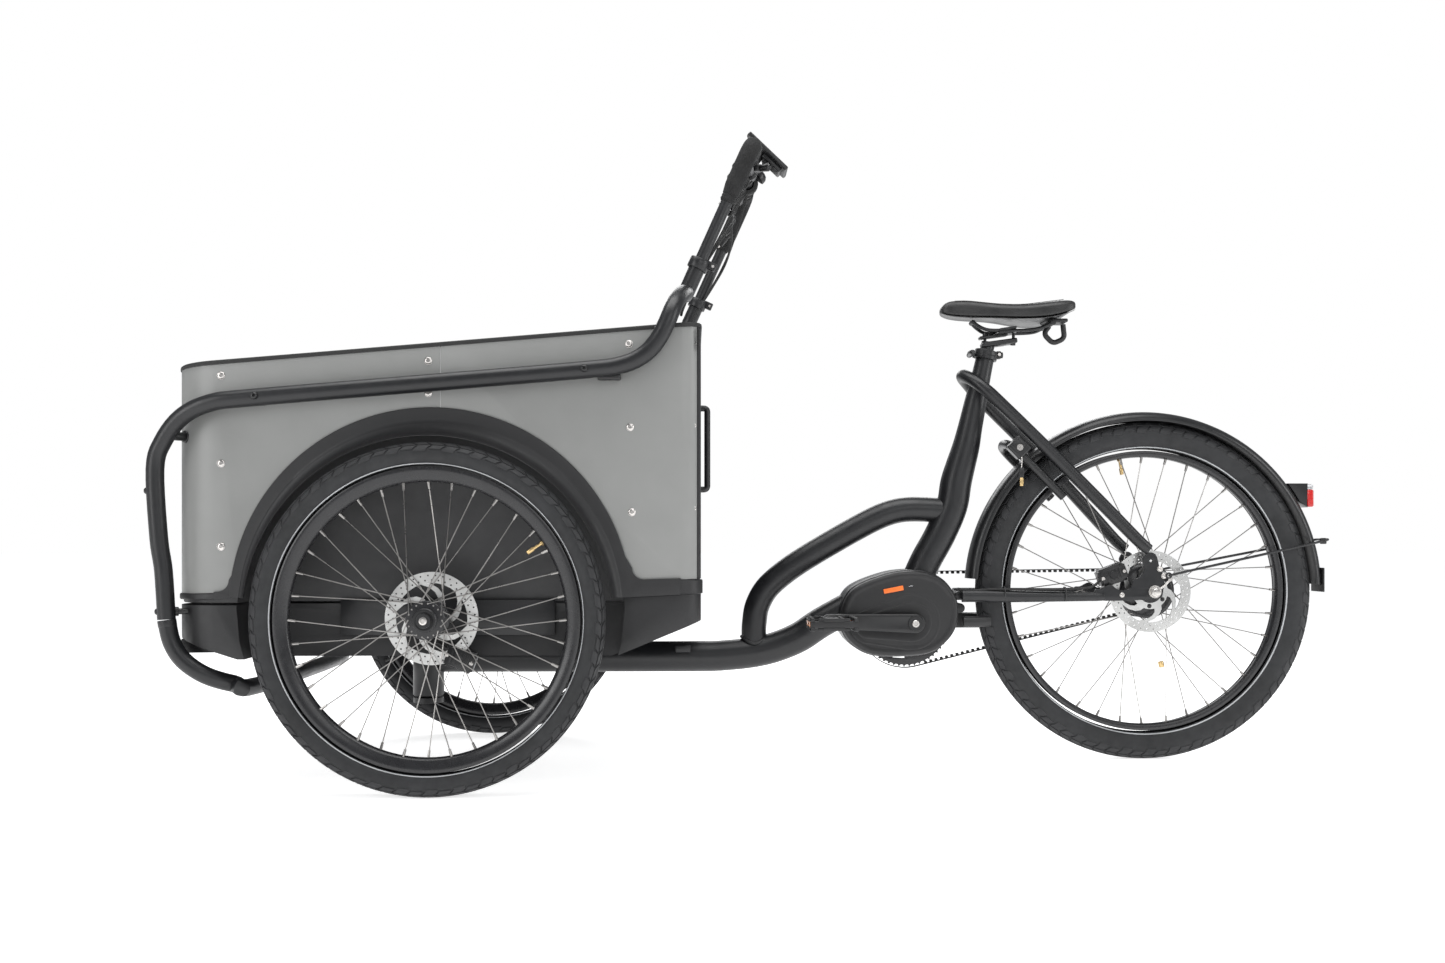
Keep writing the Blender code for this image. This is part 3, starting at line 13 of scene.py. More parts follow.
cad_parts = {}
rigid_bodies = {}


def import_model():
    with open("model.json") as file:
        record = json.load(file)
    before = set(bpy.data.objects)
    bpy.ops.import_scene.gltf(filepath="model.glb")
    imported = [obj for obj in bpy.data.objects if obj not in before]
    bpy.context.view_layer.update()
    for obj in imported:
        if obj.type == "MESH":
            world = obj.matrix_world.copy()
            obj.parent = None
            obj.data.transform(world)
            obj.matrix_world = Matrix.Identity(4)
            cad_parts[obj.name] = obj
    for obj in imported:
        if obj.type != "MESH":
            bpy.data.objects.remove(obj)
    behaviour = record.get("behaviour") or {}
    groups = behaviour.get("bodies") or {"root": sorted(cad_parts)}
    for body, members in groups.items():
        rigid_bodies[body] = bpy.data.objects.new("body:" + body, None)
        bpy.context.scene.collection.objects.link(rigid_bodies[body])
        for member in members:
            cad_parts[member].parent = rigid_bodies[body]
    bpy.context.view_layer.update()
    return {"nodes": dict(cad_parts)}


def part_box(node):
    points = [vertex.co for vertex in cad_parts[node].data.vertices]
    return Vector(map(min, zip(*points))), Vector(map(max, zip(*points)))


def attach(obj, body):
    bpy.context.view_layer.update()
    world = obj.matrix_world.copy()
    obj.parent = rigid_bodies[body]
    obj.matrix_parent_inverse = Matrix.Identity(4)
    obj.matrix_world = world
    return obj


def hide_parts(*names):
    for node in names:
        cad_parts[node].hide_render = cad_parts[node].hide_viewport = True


for old in list(bpy.data.objects):
    bpy.data.objects.remove(old)
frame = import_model()
SIDES = (("left", -1), ("right", 1))


# Materials. Grain, colour variation and uneven gloss come from noise in metres.


def material(name, slot, color, roughness, metallic=0.0, grain=(900, 0.00002), tint=0.15,
             uneven=0.05, cells=None, edge_highlight=0.0, highlight_color=(0.10, 0.10, 0.10), streaks=None, **sockets):
    """A Principled material. grain and cells are (features per metre, height in metres)."""
    made = bpy.data.materials.new(name)
    made.use_nodes = True
    nodes, link = made.node_tree.nodes, made.node_tree.links.new
    shader = nodes["Principled BSDF"]
    shader.inputs["Metallic"].default_value = metallic
    for socket, value in sockets.items():
        shader.inputs[socket.replace("_", " ")].default_value = value
    place = nodes.new("ShaderNodeTexCoord").outputs["Object"]

    def noise(scale, detail=3.0):
        made_noise = nodes.new("ShaderNodeTexNoise")
        made_noise.inputs["Scale"].default_value = scale
        made_noise.inputs["Detail"].default_value = detail
        link(place, made_noise.inputs["Vector"])
        return made_noise.outputs["Fac"]

    def spread(source, low, high, start=0.3, end=0.7):
        ranged = nodes.new("ShaderNodeMapRange")
        for socket, value in (("From Min", start), ("From Max", end), ("To Min", low),
                              ("To Max", high)):
            ranged.inputs[socket].default_value = value
        link(source, ranged.inputs["Value"])
        return ranged.outputs["Result"]

    def mixed(factor, first, second):
        mix = nodes.new("ShaderNodeMix")
        mix.data_type = "RGBA"
        link(factor, mix.inputs[0])
        for socket, value in ((mix.inputs[6], first), (mix.inputs[7], second)):
            if isinstance(value, tuple):
                socket.default_value = (*value, 1.0)
            else:
                link(value, socket)
        return mix.outputs[2]

    dark = tuple(channel * (1 - tint) for channel in color)
    light = tuple(min(channel * (1 + tint), 1.0) for channel in color)
    shade = mixed(spread(noise(14), 0.0, 1.0), dark, light)
    # Convex edges, found by pointiness, are mixed towards a lighter colour: a painted highlight
    # along the edges.
    if edge_highlight:
        edges = nodes.new("ShaderNodeNewGeometry").outputs["Pointiness"]
        shade = mixed(spread(edges, 0.0, edge_highlight, 0.51, 0.58), shade, highlight_color)
    link(shade, shader.inputs["Base Color"])
    link(spread(noise(60, 6.0), roughness - uneven, roughness + uneven),
         shader.inputs["Roughness"])
    normal = None
    layers = [(noise(grain[0], 2.0), grain[1])]
    if cells:
        pits = nodes.new("ShaderNodeTexVoronoi")
        pits.feature = "SMOOTH_F1"
        pits.inputs["Scale"].default_value = cells[0]
        link(place, pits.inputs["Vector"])
        layers.append((pits.outputs["Distance"], cells[1]))
    if streaks:
        stretch = nodes.new("ShaderNodeMapping")
        stretch.inputs["Scale"].default_value = streaks[0]
        link(place, stretch.inputs["Vector"])
        scratch = nodes.new("ShaderNodeTexNoise")
        scratch.inputs["Scale"].default_value = 1.0
        link(stretch.outputs["Vector"], scratch.inputs["Vector"])
        layers.append((scratch.outputs["Fac"], streaks[1]))
    for height, depth in layers:
        bump = nodes.new("ShaderNodeBump")
        bump.inputs["Strength"].default_value = 1.0
        bump.inputs["Distance"].default_value = depth
        link(height, bump.inputs["Height"])
        if normal:
            link(normal, bump.inputs["Normal"])
        normal = bump.outputs["Normal"]
    link(normal, shader.inputs["Normal"])
    return made


# The lighter edge colours given to these finishes below are painted highlights along their edges.
PAINT = material("satin_paint", "frame", (0.0055, 0.0058, 0.0070), 0.38, grain=(1500, 0.000012),
                 edge_highlight=0.25, highlight_color=(0.014, 0.014, 0.015))
PANEL = material("grey_paint", "panel", (0.215, 0.218, 0.212), 0.42, grain=(2200, 0.000012),
                 tint=0.03, uneven=0.03)
MOULDED = material("moulded_plastic", "plastic", (0.0085, 0.0084, 0.0092), 0.50,
                   grain=(1100, 0.00005), edge_highlight=0.2, highlight_color=(0.020, 0.020, 0.021))
SMOOTH_PLASTIC = material("smooth_plastic", "plastic", (0.0070, 0.0071, 0.0078), 0.33,
                          grain=(700, 0.00001))
TYRE = material("tyre_rubber", "tyre", (0.0095, 0.0100, 0.0112), 0.66, grain=(800, 0.00005),
                tint=0.3, uneven=0.08, edge_highlight=0.5, highlight_color=(0.026, 0.026, 0.028))
STRIPE = material("reflective_stripe", "tyre", (0.42, 0.43, 0.44), 0.35, grain=(3000, 0.00001))
RUBBER = material("soft_rubber", "rubber", (0.0120, 0.0120, 0.0120), 0.66, grain=(1300, 0.00004))
RIM = material("black_anodised", "rim", (0.0110, 0.0110, 0.0125), 0.27, grain=(2500, 0.000006),
               edge_highlight=0.2, highlight_color=(0.05, 0.05, 0.05))
STEEL = material("stainless_wire", "steel", (0.56, 0.54, 0.52), 0.26, 1.0, grain=(2500, 0.000008))
SPOKE = material("spoke_wire", "steel", (0.30, 0.29, 0.28), 0.30, 1.0, grain=(2500, 0.000008))
BRUSHED = material("brushed_steel", "steel", (0.60, 0.60, 0.59), 0.30, 1.0,
                   grain=(2500, 0.000008), streaks=((2600, 300, 90), 0.00002))
ALUMINIUM = material("cast_aluminium", "steel", (0.42, 0.42, 0.42), 0.38, 1.0)
BRASS = material("turned_brass", "brass", (0.62, 0.45, 0.22), 0.30, 1.0, grain=(1800, 0.00001))
FOAM = material("foam_grip", "rubber", (0.0085, 0.0085, 0.0088), 0.85, cells=(900, 0.0007),
                grain=(500, 0.0002), tint=0.35)
COVER = material("saddle_cover", "cover", (0.0105, 0.0105, 0.0108), 0.43, cells=(1300, 0.00010),
                 grain=(350, 0.00004), uneven=0.07)
LINING = material("lining_board", "wood", (0.0210, 0.0210, 0.0220), 0.55, cells=(420, 0.00012))
RED = material("red_lens", "lens", (0.62, 0.015, 0.012), 0.12, cells=(520, 0.0003),
               Transmission_Weight=0.25, Coat_Weight=0.6)
CLEAR = material("clear_lens", "lens", (0.85, 0.86, 0.88), 0.08, cells=(420, 0.0002),
                 Transmission_Weight=0.75)
AMBER = material("amber_lens", "lens", (0.90, 0.27, 0.02), 0.16, cells=(600, 0.0003),
                 Transmission_Weight=0.2, Coat_Weight=0.6)
ORANGE = material("orange_badge", "plastic", (0.85, 0.17, 0.02), 0.35, grain=(900, 0.00001),
                  tint=0.05)
GLASS = material("display_glass", "plastic", (0.006, 0.007, 0.009), 0.08, grain=(60, 0.000004),
                 Coat_Weight=1.0)
DARK = material("shadowed_plastic", "plastic", (0.006, 0.006, 0.006), 0.7)


# Building blocks.

def filleted(points, radius, steps=6, closed=False):
    """The points with each corner replaced by an arc: one radius, or one for each point."""
    points = [Vector(point) for point in points]
    radii = radius if isinstance(radius, (list, tuple)) else [radius] * len(points)
    rounded = []
    for index, corner in enumerate(points):
        if not closed and index in (0, len(points) - 1):
            rounded.append(corner)
            continue
        to_last = points[index - 1] - corner
        to_next = points[(index + 1) % len(points)] - corner
        inner = to_last.angle(to_next)
        if pi - inner < 0.01 or radii[index] == 0:
            rounded.append(corner)
            continue
        reach = min(radii[index] / tan(inner / 2), 0.49 * to_last.length, 0.49 * to_next.length)
        middle = (to_last.normalized() + to_next.normalized()).normalized()
        centre = corner + middle * (reach / cos(inner / 2))
        first = corner + to_last.normalized() * reach - centre
        last = corner + to_next.normalized() * reach - centre
        sweep = first.angle(last)
        for step in range(steps + 1):
            share = step / steps
            arm = first * sin((1 - share) * sweep) + last * sin(share * sweep)
            rounded.append(centre + arm / sin(sweep))
    return rounded


def flowing(points, steps=6, closed=False):
    """A smooth line through the points, whatever number of values each has."""
    points = [tuple(point) for point in points]
    count = len(points)
    result = []
    for index in range(count if closed else count - 1):
        if closed:
            a, b, c, d = (points[(index + shift) % count] for shift in (-1, 0, 1, 2))
        else:
            a, b, c, d = (points[min(max(index + shift, 0), count - 1)] for shift in (-1, 0, 1, 2))
        for step in range(steps):
            t = step / steps
            result.append(tuple(
                0.5 * (2 * q + (r - p) * t + (2 * p - 5 * q + 4 * r - s) * t * t
                       + (3 * q - p - 3 * r + s) * t * t * t)
                for p, q, r, s in zip(a, b, c, d)))
    return result if closed else result + [points[-1]]


def circle(x, z, radius, count, first=0.0, last=2 * pi):
    """Points on an arc, without the last point when it closes."""
    steps = count if abs(last - first) > 2 * pi - 0.001 else count - 1
    return [(x + radius * cos(first + (last - first) * index / steps),
             z + radius * sin(first + (last - first) * index / steps)) for index in range(count)]


def wrapped(first, first_radius, second, second_radius, count=24):
    """The line round two circles."""
    run_x, run_z = second[0] - first[0], second[1] - first[1]
    slope = atan2(run_z, run_x)
    opening = acos((first_radius - second_radius) / hypot(run_x, run_z))
    return (circle(*first, first_radius, count, slope + opening, slope + 2 * pi - opening)
            + circle(*second, second_radius, count, slope - opening, slope + opening))


def turn_to(direction):
    return Vector(direction).to_track_quat("Z", "Y").to_matrix().to_4x4()


class Shape:
    """Solids gathered into one piece."""

    def __init__(self):
        self.bm = bmesh.new()

    def skin(self, rings, closed=False):
        """Faces between rings of points, with an end face on the first and last if it is open."""
        made = [[self.bm.verts.new(point) for point in ring] for ring in rings]
        pairs = list(zip(made, made[1:])) + ([(made[-1], made[0])] if closed else [])
        for ring, following in pairs:
            for index in range(len(ring)):
                after = (index + 1) % len(ring)
                self.bm.faces.new((ring[index], ring[after], following[after], following[index]))
        if not closed:
            self.bm.faces.new(made[0])
            self.bm.faces.new(made[-1])
        return self

    def tube(self, points, radius, sides=20, closed=False, flat=1.0):
        """A round bar along the points. A point's fourth value scales the radius there."""
        places = [Vector(point[:3]) for point in points]
        shares = [point[3] if len(point) > 3 else 1.0 for point in points]
        count = len(places)
        normal = None
        rings = []
        for index in range(count):
            before = places[index - 1] if index or closed else places[0]
            after = places[(index + 1) % count] if index < count - 1 or closed else places[-1]
            along = (after - before).normalized()
            normal = along.orthogonal() if normal is None else normal
            normal = (normal - along * normal.dot(along)).normalized()
            across = along.cross(normal)
            reach = radius * shares[index]
            rings.append([places[index] + reach * (normal * cos(2 * pi * side / sides)
                                                   + across * flat * sin(2 * pi * side / sides))
                          for side in range(sides)])
        return self.skin(rings, closed)

    def rod(self, start, end, radius, sides=24, end_radius=None, rounding=0.0):
        start, end = Vector(start), Vector(end)
        made = bmesh.ops.create_cone(
            self.bm, cap_ends=True, segments=sides, depth=(end - start).length, radius1=radius,
            radius2=radius if end_radius is None else end_radius,
            matrix=Matrix.Translation((start + end) / 2) @ turn_to(end - start))
        if rounding:
            edges = {edge for vert in made["verts"] for edge in vert.link_edges
                     if any(len(face.verts) > 4 for face in edge.link_faces)}
            bmesh.ops.bevel(self.bm, geom=list(edges), offset=rounding, segments=3,
                            affect="EDGES", profile=0.5)
        return self

    def block(self, centre, size, turn=None, rounding=0.001, segments=3):
        place = Matrix.Translation(Vector(centre)) @ (turn or Matrix.Identity(4))
        made = bmesh.ops.create_cube(self.bm, size=1,
                                     matrix=place @ Matrix.Diagonal((*size, 1)))
        edges = {edge for vert in made["verts"] for edge in vert.link_edges}
        bmesh.ops.bevel(self.bm, geom=list(edges), offset=rounding, segments=segments,
                        affect="EDGES", profile=0.5)
        return self

    def turned(self, profile, centre, axis=(0, 1, 0), steps=96):
        """A closed profile of (radius, height along the axis), turned about the axis."""
        place = Matrix.Translation(Vector(centre)) @ turn_to(axis)
        rings = []
        for step in range(steps):
            angle = 2 * pi * step / steps
            rings.append([self.bm.verts.new(
                place @ Vector((radius * cos(angle), radius * sin(angle), height)))
                for radius, height in profile])
        for ring, following in zip(rings, rings[1:] + rings[:1]):
            for index in range(len(profile)):
                after = (index + 1) % len(profile)
                corners = (ring[index], ring[after], following[after], following[index])
                if profile[index][0] or profile[after][0]:
                    self.bm.faces.new(corners)
        return self

    def plate(self, outlines, y_low, y_high, rounding=0.0, place=None):
        """Outlines of (x, z) points with holes, as a plate between two heights across."""
        data = bpy.data.curves.new("outline", "CURVE")
        data.dimensions = "2D"
        data.fill_mode = "BOTH"
        data.extrude = (y_high - y_low) / 2 - rounding
        data.bevel_depth = rounding
        data.bevel_resolution = 2 if rounding else 0
        data.offset = -rounding
        for outline in outlines:
            spline = data.splines.new("POLY")
            spline.points.add(len(outline) - 1)
            for index, point in enumerate(outline):
                spline.points[index].co = (point[0], point[1], 0, 1)
            spline.use_cyclic_u = True
        guide = bpy.data.objects.new("outline", data)
        bpy.context.scene.collection.objects.link(guide)
        graph = bpy.context.evaluated_depsgraph_get()
        mesh = bpy.data.meshes.new_from_object(guide.evaluated_get(graph))
        upright = Matrix.Translation((0, (y_low + y_high) / 2, 0)) @ Matrix.Rotation(pi / 2, 4, "X")
        mesh.transform(upright if place is None else place)
        bpy.data.objects.remove(guide)
        self.bm.from_mesh(mesh)
        bpy.data.meshes.remove(mesh)
        return self

    def screw(self, point, direction, radius, height=0.45):
        """A domed head with a socket, on a thin washer."""
        tall = radius * height
        return self.turned([
            (0.0, tall * 0.4), (radius * 0.38, tall * 0.4), (radius * 0.42, tall),
            (radius * 0.62, tall * 0.96), (radius * 0.85, tall * 0.7), (radius, tall * 0.25),
            (radius, 0.0002), (radius * 1.12, 0.0001), (radius * 1.12, -0.0006),
            (0.0, -0.0006)], point, direction, 20)

    def made(self, name, finish, body, *nodes, sharp=35):
        """Ends the piece: it rides on the body and replaces the nodes."""
        bmesh.ops.remove_doubles(self.bm, verts=self.bm.verts, dist=0.000004)
        bmesh.ops.recalc_face_normals(self.bm, faces=self.bm.faces)
        mesh = bpy.data.meshes.new(name)
        self.bm.to_mesh(mesh)
        self.bm.free()
        mesh.materials.clear()
        mesh.materials.append(finish)
        mesh.shade_smooth()
        mesh.set_sharp_from_angle(angle=radians(sharp))
        piece = bpy.data.objects.new(name, mesh)
        bpy.context.scene.collection.objects.link(piece)
        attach(piece, body)
        if nodes:
            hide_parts(*nodes)
        return piece


def refined(node, name, finish, body, width, angle=30):
    """The frame's own shape with its edges rounded."""
    shape = Shape()
    shape.bm.from_mesh(frame["nodes"][node].data)
    bm = shape.bm
    bmesh.ops.remove_doubles(bm, verts=bm.verts, dist=0.00001)
    bmesh.ops.dissolve_limit(bm, angle_limit=radians(1.0), verts=bm.verts, edges=bm.edges)
    edges = [edge for edge in bm.edges
             if len(edge.link_faces) == 2 and edge.calc_face_angle() > radians(angle)]
    bmesh.ops.bevel(bm, geom=edges, offset=width, segments=2, affect="EDGES", profile=0.5,
                    clamp_overlap=True)
    return shape.made(name, finish, body, node, sharp=28)


def middle(node):
    low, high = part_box(node)
    return (low + high) / 2


# Wheels.

def tyre(name, centre, radius, width, seat, blocks, body, node):
    """A closed casing with raised tread blocks. Rows run round the wheel, one for each angle."""
    lug = 0.0017
    mid, rise, half = (radius + seat) / 2, (radius - seat) / 2 - lug, width / 2 - 0.0006
    wall = 0.0032
    # Angle from the crown, lift (0 casing, 1 block, 2 block at every second step), turn in blocks.
    right = [(0.5, 1, 0.00), (16, 1, 0.42), (17.5, 0, 0.45), (20.5, 0, 0.45), (22, 1, 0.42),
             (40, 1, 0.05), (41.5, 0, 0.03), (44, 0, 0.00), (45.5, 1, 0.00), (58, 1, 0.25),
             (64, 1, 0.30), (66, 2, 0.32), (74, 2, 0.38), (77, 0, 0.40), (84, 0, 0.4),
             (95, 0, 0.4), (107, 0, 0.4), (120, 0, 0.4), (133, 0, 0.4), (146, 0, 0.4),
             (152, 0, 0.4)]
    rows = [(-angle, lift, turn + 0.5) for angle, lift, turn in reversed(right)] + right
    inside = [(angle, -1, 0.4) for angle in (150, 110, 60, 0, -60, -110, -150)]
    shares = ((0.0, 0), (0.13, 0), (0.17, 1), (0.56, 1), (0.96, 1))
    grid = []
    for angle, lift, turn in rows + inside:
        a = radians(angle)
        ring = []
        for block in range(blocks):
            for share, top in shares:
                raised = top and (lift == 1 or lift == 2 and block % 2 == 0)
                out = lug if raised else (-wall if lift < 0 else 0.0)
                reach = mid + (rise + out) * cos(a)
                around = 2 * pi * (block + share + turn) / blocks
                ring.append(Vector(centre) + Vector(
                    (reach * cos(around), (half + out) * sin(a), reach * sin(around))))
        grid.append(ring)
    Shape().skin(grid, closed=True).made(name, TYRE, body, node, sharp=40)
    band = Shape()
    for side in (-1, 1):
        outer = [(mid + (rise + 0.0003) * cos(radians(angle)),
                  side * (half + 0.0004) * sin(radians(angle))) for angle in (138, 141, 144)]
        inner = [(mid + (rise - 0.001) * cos(radians(angle)),
                  side * (half - 0.001) * sin(radians(angle))) for angle in (144, 141, 138)]
        band.turned(outer + inner, centre, steps=160)
    band.made(name + "_stripe", STRIPE, body, sharp=60)


def rim(name, centre, seat, inner, half, body, node):
    profile = [
        (seat - 0.0030, half - 0.0030), (seat, half - 0.0022), (seat + 0.0008, half - 0.0008),
        (seat - 0.0004, half), (seat - 0.0060, half), (seat - 0.0095, half - 0.0012),
        (inner + 0.0060, half * 0.74), (inner + 0.0016, half * 0.42), (inner, half * 0.20)]
    mirror = [(radius, -height) for radius, height in reversed(profile)]
    bed = [(seat - 0.0085, -half * 0.45), (seat - 0.0085, half * 0.45)]
    Shape().turned(profile + mirror + bed, centre, steps=144).made(name, RIM, body, node)


def spoked(name, centre, flange, hole_reach, inner, crossing, body):
    """Crossed wire spokes from both flanges, with their heads and nipples."""
    wire, count, gauge = Shape(), 36, 0.00105
    centre = Vector(centre)
    for side in (-1, 1):
        for index in range(count // 2):
            hole = 2 * pi * (index + (0.5 if side > 0 else 0.0)) / (count // 2)
            lean = crossing if index % 2 else -crossing
            out = 0.0022 if index % 4 < 2 else -0.0022
            root = centre + Vector((hole_reach * cos(hole), side * flange + side * out,
                                    hole_reach * sin(hole)))
            rim_angle = hole + lean
            ray = Vector((cos(rim_angle), 0, sin(rim_angle)))
            tip = centre + ray * (inner + 0.002) + Vector((0, side * 0.0035, 0))
            run = (tip - root).normalized()
            wire.rod(root, tip, gauge, 6)
            wire.rod(tip - run * 0.0135, tip - run * 0.001, 0.0022, 8, 0.0026)
            head = Vector((root.x, centre.y + side * flange, root.z))
            wire.rod(head - Vector((0, side * 0.0030, 0)), head + Vector((0, side * 0.0032, 0)),
                     0.0021, 10, 0.0014)
    wire.made(name, SPOKE, body)


def valve(name, centre, inner, angle, body):
    ray = Vector((cos(angle), 0, sin(angle)))
    centre = Vector(centre)
    stem = Shape()
    stem.rod(centre + ray * (inner - 0.024), centre + ray * (inner + 0.004), 0.0026, 16)
    stem.rod(centre + ray * (inner - 0.0035), centre + ray * (inner + 0.0005), 0.0048, 6,
             rounding=0.0004)
    stem.rod(centre + ray * (inner - 0.031), centre + ray * (inner - 0.018), 0.0038, 16,
             rounding=0.0009)
    stem.made(name, BRASS, body)


def disc(name, centre, sign, bore, body, node):
    """A brake disc: a drilled band on curved arms."""
    x, y, z = centre
    outer = (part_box(node)[1].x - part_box(node)[0].x) / 2
    band_inner, hub_outer, arms = outer * 0.765, bore + 0.012, 6
    outlines = [circle(x, z, outer, 120), circle(x, z, bore, 48)]
    for arm in range(arms):
        start = 2 * pi * arm / arms
        twist = radians(42) * sign
        near = [(hub_outer, start + radians(share)) for share in (9, 20, 32, 44)]
        far = [(band_inner, start + twist + radians(share)) for share in (52, 40, 28, 16, 6)]
        across = radians(2.5)
        up = [(hub_outer + (band_inner - hub_outer) * t,
               start + radians(44) + across + twist * t ** 1.5 + radians(6) * t)
              for t in (0.25, 0.5, 0.75)]
        down = [(hub_outer + (band_inner - hub_outer) * t,
                 start + radians(9) + twist * t ** 1.5 - radians(3) * t)
                for t in (0.75, 0.5, 0.25)]
        outlines.append([(x + reach * cos(angle), z + reach * sin(angle))
                         for reach, angle in near + up + far + down])
    for row, reach in enumerate((outer * 0.825, outer * 0.925)):
        for hole in range(36):
            angle = 2 * pi * (hole + row / 2) / 36
            outlines.append(circle(x + reach * cos(angle), z + reach * sin(angle), 0.0016, 8))
    half = 0.0009
    Shape().plate(outlines, y - half, y + half).made(name, BRUSHED, body, node)
    mount = Shape()
    for bolt in range(arms):
        angle = 2 * pi * (bolt + 0.45) / arms
        point = (x + (bore + 0.006) * cos(angle), y + sign * half, z + (bore + 0.006) * sin(angle))
        mount.screw(point, (0, sign, 0), 0.0040, 0.5)
    mount.made(name + "_bolts", SMOOTH_PLASTIC, body)


def front_wheels():
    for side, sign in SIDES:
        centre = middle("front_tyre_" + side)
        low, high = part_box("front_tyre_" + side)
        radius, width = (high.x - low.x) / 2, high.y - low.y
        seat, inner = radius - 0.0430, 0.2330
        body = "front_wheel_" + side
        tyre(f"front_tyre_{side}_tread", centre, radius, width, seat, 76, body,
             "front_tyre_" + side)
        rim(f"front_rim_{side}_anodised", centre, seat, inner, 0.0135, body, "front_rim_" + side)
        spoked(f"front_spokes_{side}", centre, 0.0250, 0.0285, inner, radians(60), body)
        shell = [(0.0195, 0.0362), (0.0206, 0.0350), (0.0206, 0.0285), (0.0318, 0.0273),
                 (0.0328, 0.0262), (0.0328, 0.0238), (0.0318, 0.0227), (0.0200, 0.0200),
                 (0.0152, 0.0120), (0.0146, 0.0000), (0.0152, -0.0120), (0.0200, -0.0200),
                 (0.0318, -0.0227), (0.0328, -0.0238), (0.0328, -0.0262), (0.0318, -0.0273),
                 (0.0206, -0.0285), (0.0174, -0.0310), (0.0174, -0.0376), (0.0074, -0.0376),
                 (0.0074, 0.0362)]
        Shape().turned([(r, sign * h) for r, h in shell], centre, steps=64).made(
            f"front_hub_{side}_shell", RIM, body, "front_hub_" + side)
        cap = [(0.0190, 0.0360), (0.0190, 0.0369), (0.0165, 0.0374), (0.0145, 0.0369),
               (0.0140, 0.0360)]
        Shape().turned([(r, sign * h) for r, h in cap], centre, steps=64).made(
            f"front_hub_{side}_seal", SMOOTH_PLASTIC, body)
        valve(f"front_valve_{side}", centre, inner, radians(34), body)
        disc_y = middle("front_disc_" + side).y
        disc(f"front_disc_{side}_drilled", (centre.x, disc_y, centre.z), -sign, 0.0180, body,
             "front_disc_" + side)


def rear_wheel():
    centre = middle("rear_tyre")
    low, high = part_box("rear_tyre")
    radius, width = (high.x - low.x) / 2, high.y - low.y
    seat, inner = radius - 0.0580, 0.2650
    tyre("rear_tyre_tread", centre, radius, width, seat, 84, "rear_wheel", "rear_tyre")
    rim("rear_rim_anodised", centre, seat, inner, 0.0150, "rear_wheel", "rear_rim")
    spoked("rear_spokes", centre, 0.0280, 0.0495, inner, radians(40), "rear_wheel")
    shell = [(0.0160, 0.0615), (0.0165, 0.0600), (0.0165, 0.0425), (0.0420, 0.0385),
             (0.0460, 0.0350), (0.0530, 0.0305), (0.0540, 0.0292), (0.0540, 0.0268),
             (0.0530, 0.0256), (0.0485, 0.0235), (0.0465, 0.0190), (0.0465, -0.0190),
             (0.0485, -0.0235), (0.0530, -0.0256), (0.0540, -0.0268), (0.0540, -0.0292),
             (0.0530, -0.0305), (0.0460, -0.0345), (0.0300, -0.0372), (0.0226, -0.0385),
             (0.0224, -0.0520), (0.0074, -0.0520), (0.0074, 0.0615)]
    Shape().turned(shell, centre, steps=72).made("rear_hub_shell", RIM, "rear_wheel", "rear_hub")
    valve("rear_valve", centre, inner, radians(100), "rear_wheel")
    disc("rear_disc_drilled", (centre.x, middle("rear_disc").y, centre.z), -1, 0.0230,
         "rear_wheel", "rear_disc")
    ray = Vector((cos(radians(283)), 0, sin(radians(283))))
    spot = centre + ray * 0.150 + Vector((0, -0.013, 0))
    Shape().rod(spot - ray * 0.006, spot + ray * 0.006, 0.0055, 16, rounding=0.0015).made(
        "speed_magnet", BRASS, "rear_wheel")


front_wheels()
rear_wheel()


# Cargo box.

BOX_FRONT, BOX_REAR, BOX_SIDE = -1.052, -0.143, 0.365
BOX_MIDDLE = -0.6
BAND_BASE, BAND_SLOPE = 0.3369, 0.0105    # the bands' lower edge, at the wheel
FRONT_CORNER, REAR_CORNER = 0.078, 0.035
FRONT_WHEEL = (middle("front_tyre_left").x, middle("front_tyre_left").z)
PROUD = 0.0002    # how far a fitting stands off the panel under it


def box_top(x):
    return 0.7298 + (x - BOX_FRONT) * 0.0845


def box_bottom(x):
    return 0.3424 + (x - BOX_FRONT) * 0.0285


def box_outline(inset, steps=14):
    """The box's plan, from the middle of its front round +Y and back, as (x, y) points."""
    front, rear, side = BOX_FRONT + inset, BOX_REAR - inset, BOX_SIDE - inset
    half = [(front, 0.0)]
    for x, radius, first in ((front, FRONT_CORNER - inset, 180),
                             (rear, max(REAR_CORNER - inset, 0.004), 90)):
        centre_x = x + radius if first == 180 else x - radius
        half += [(centre_x + radius * cos(radians(first - 90 * step / steps)),
                  side - radius + radius * sin(radians(first - 90 * step / steps)))
                 for step in range(steps + 1)]
    half.append((rear, 0.0))
    return half + [(x, -y) for x, y in reversed(half) if y > 0]


def strip(path, rows, closed=False):
    """A moulding along a path of (x, y, height): rows are (outward, upward) from it."""
    rings = []
    count = len(path)
    for index, (x, y, base) in enumerate(path):
        before = path[(index - 1) % count] if index or closed else path[0]
        after = path[(index + 1) % count] if index < count - 1 or closed else path[-1]
        out = Vector((after[1] - before[1], before[0] - after[0], 0)).normalized()
        if out.dot(Vector((x - BOX_MIDDLE, y, 0))) < 0:
            out = -out
        rings.append([Vector((x, y, base + up)) + out * away for away, up in rows])
    return Shape().skin(rings, closed)


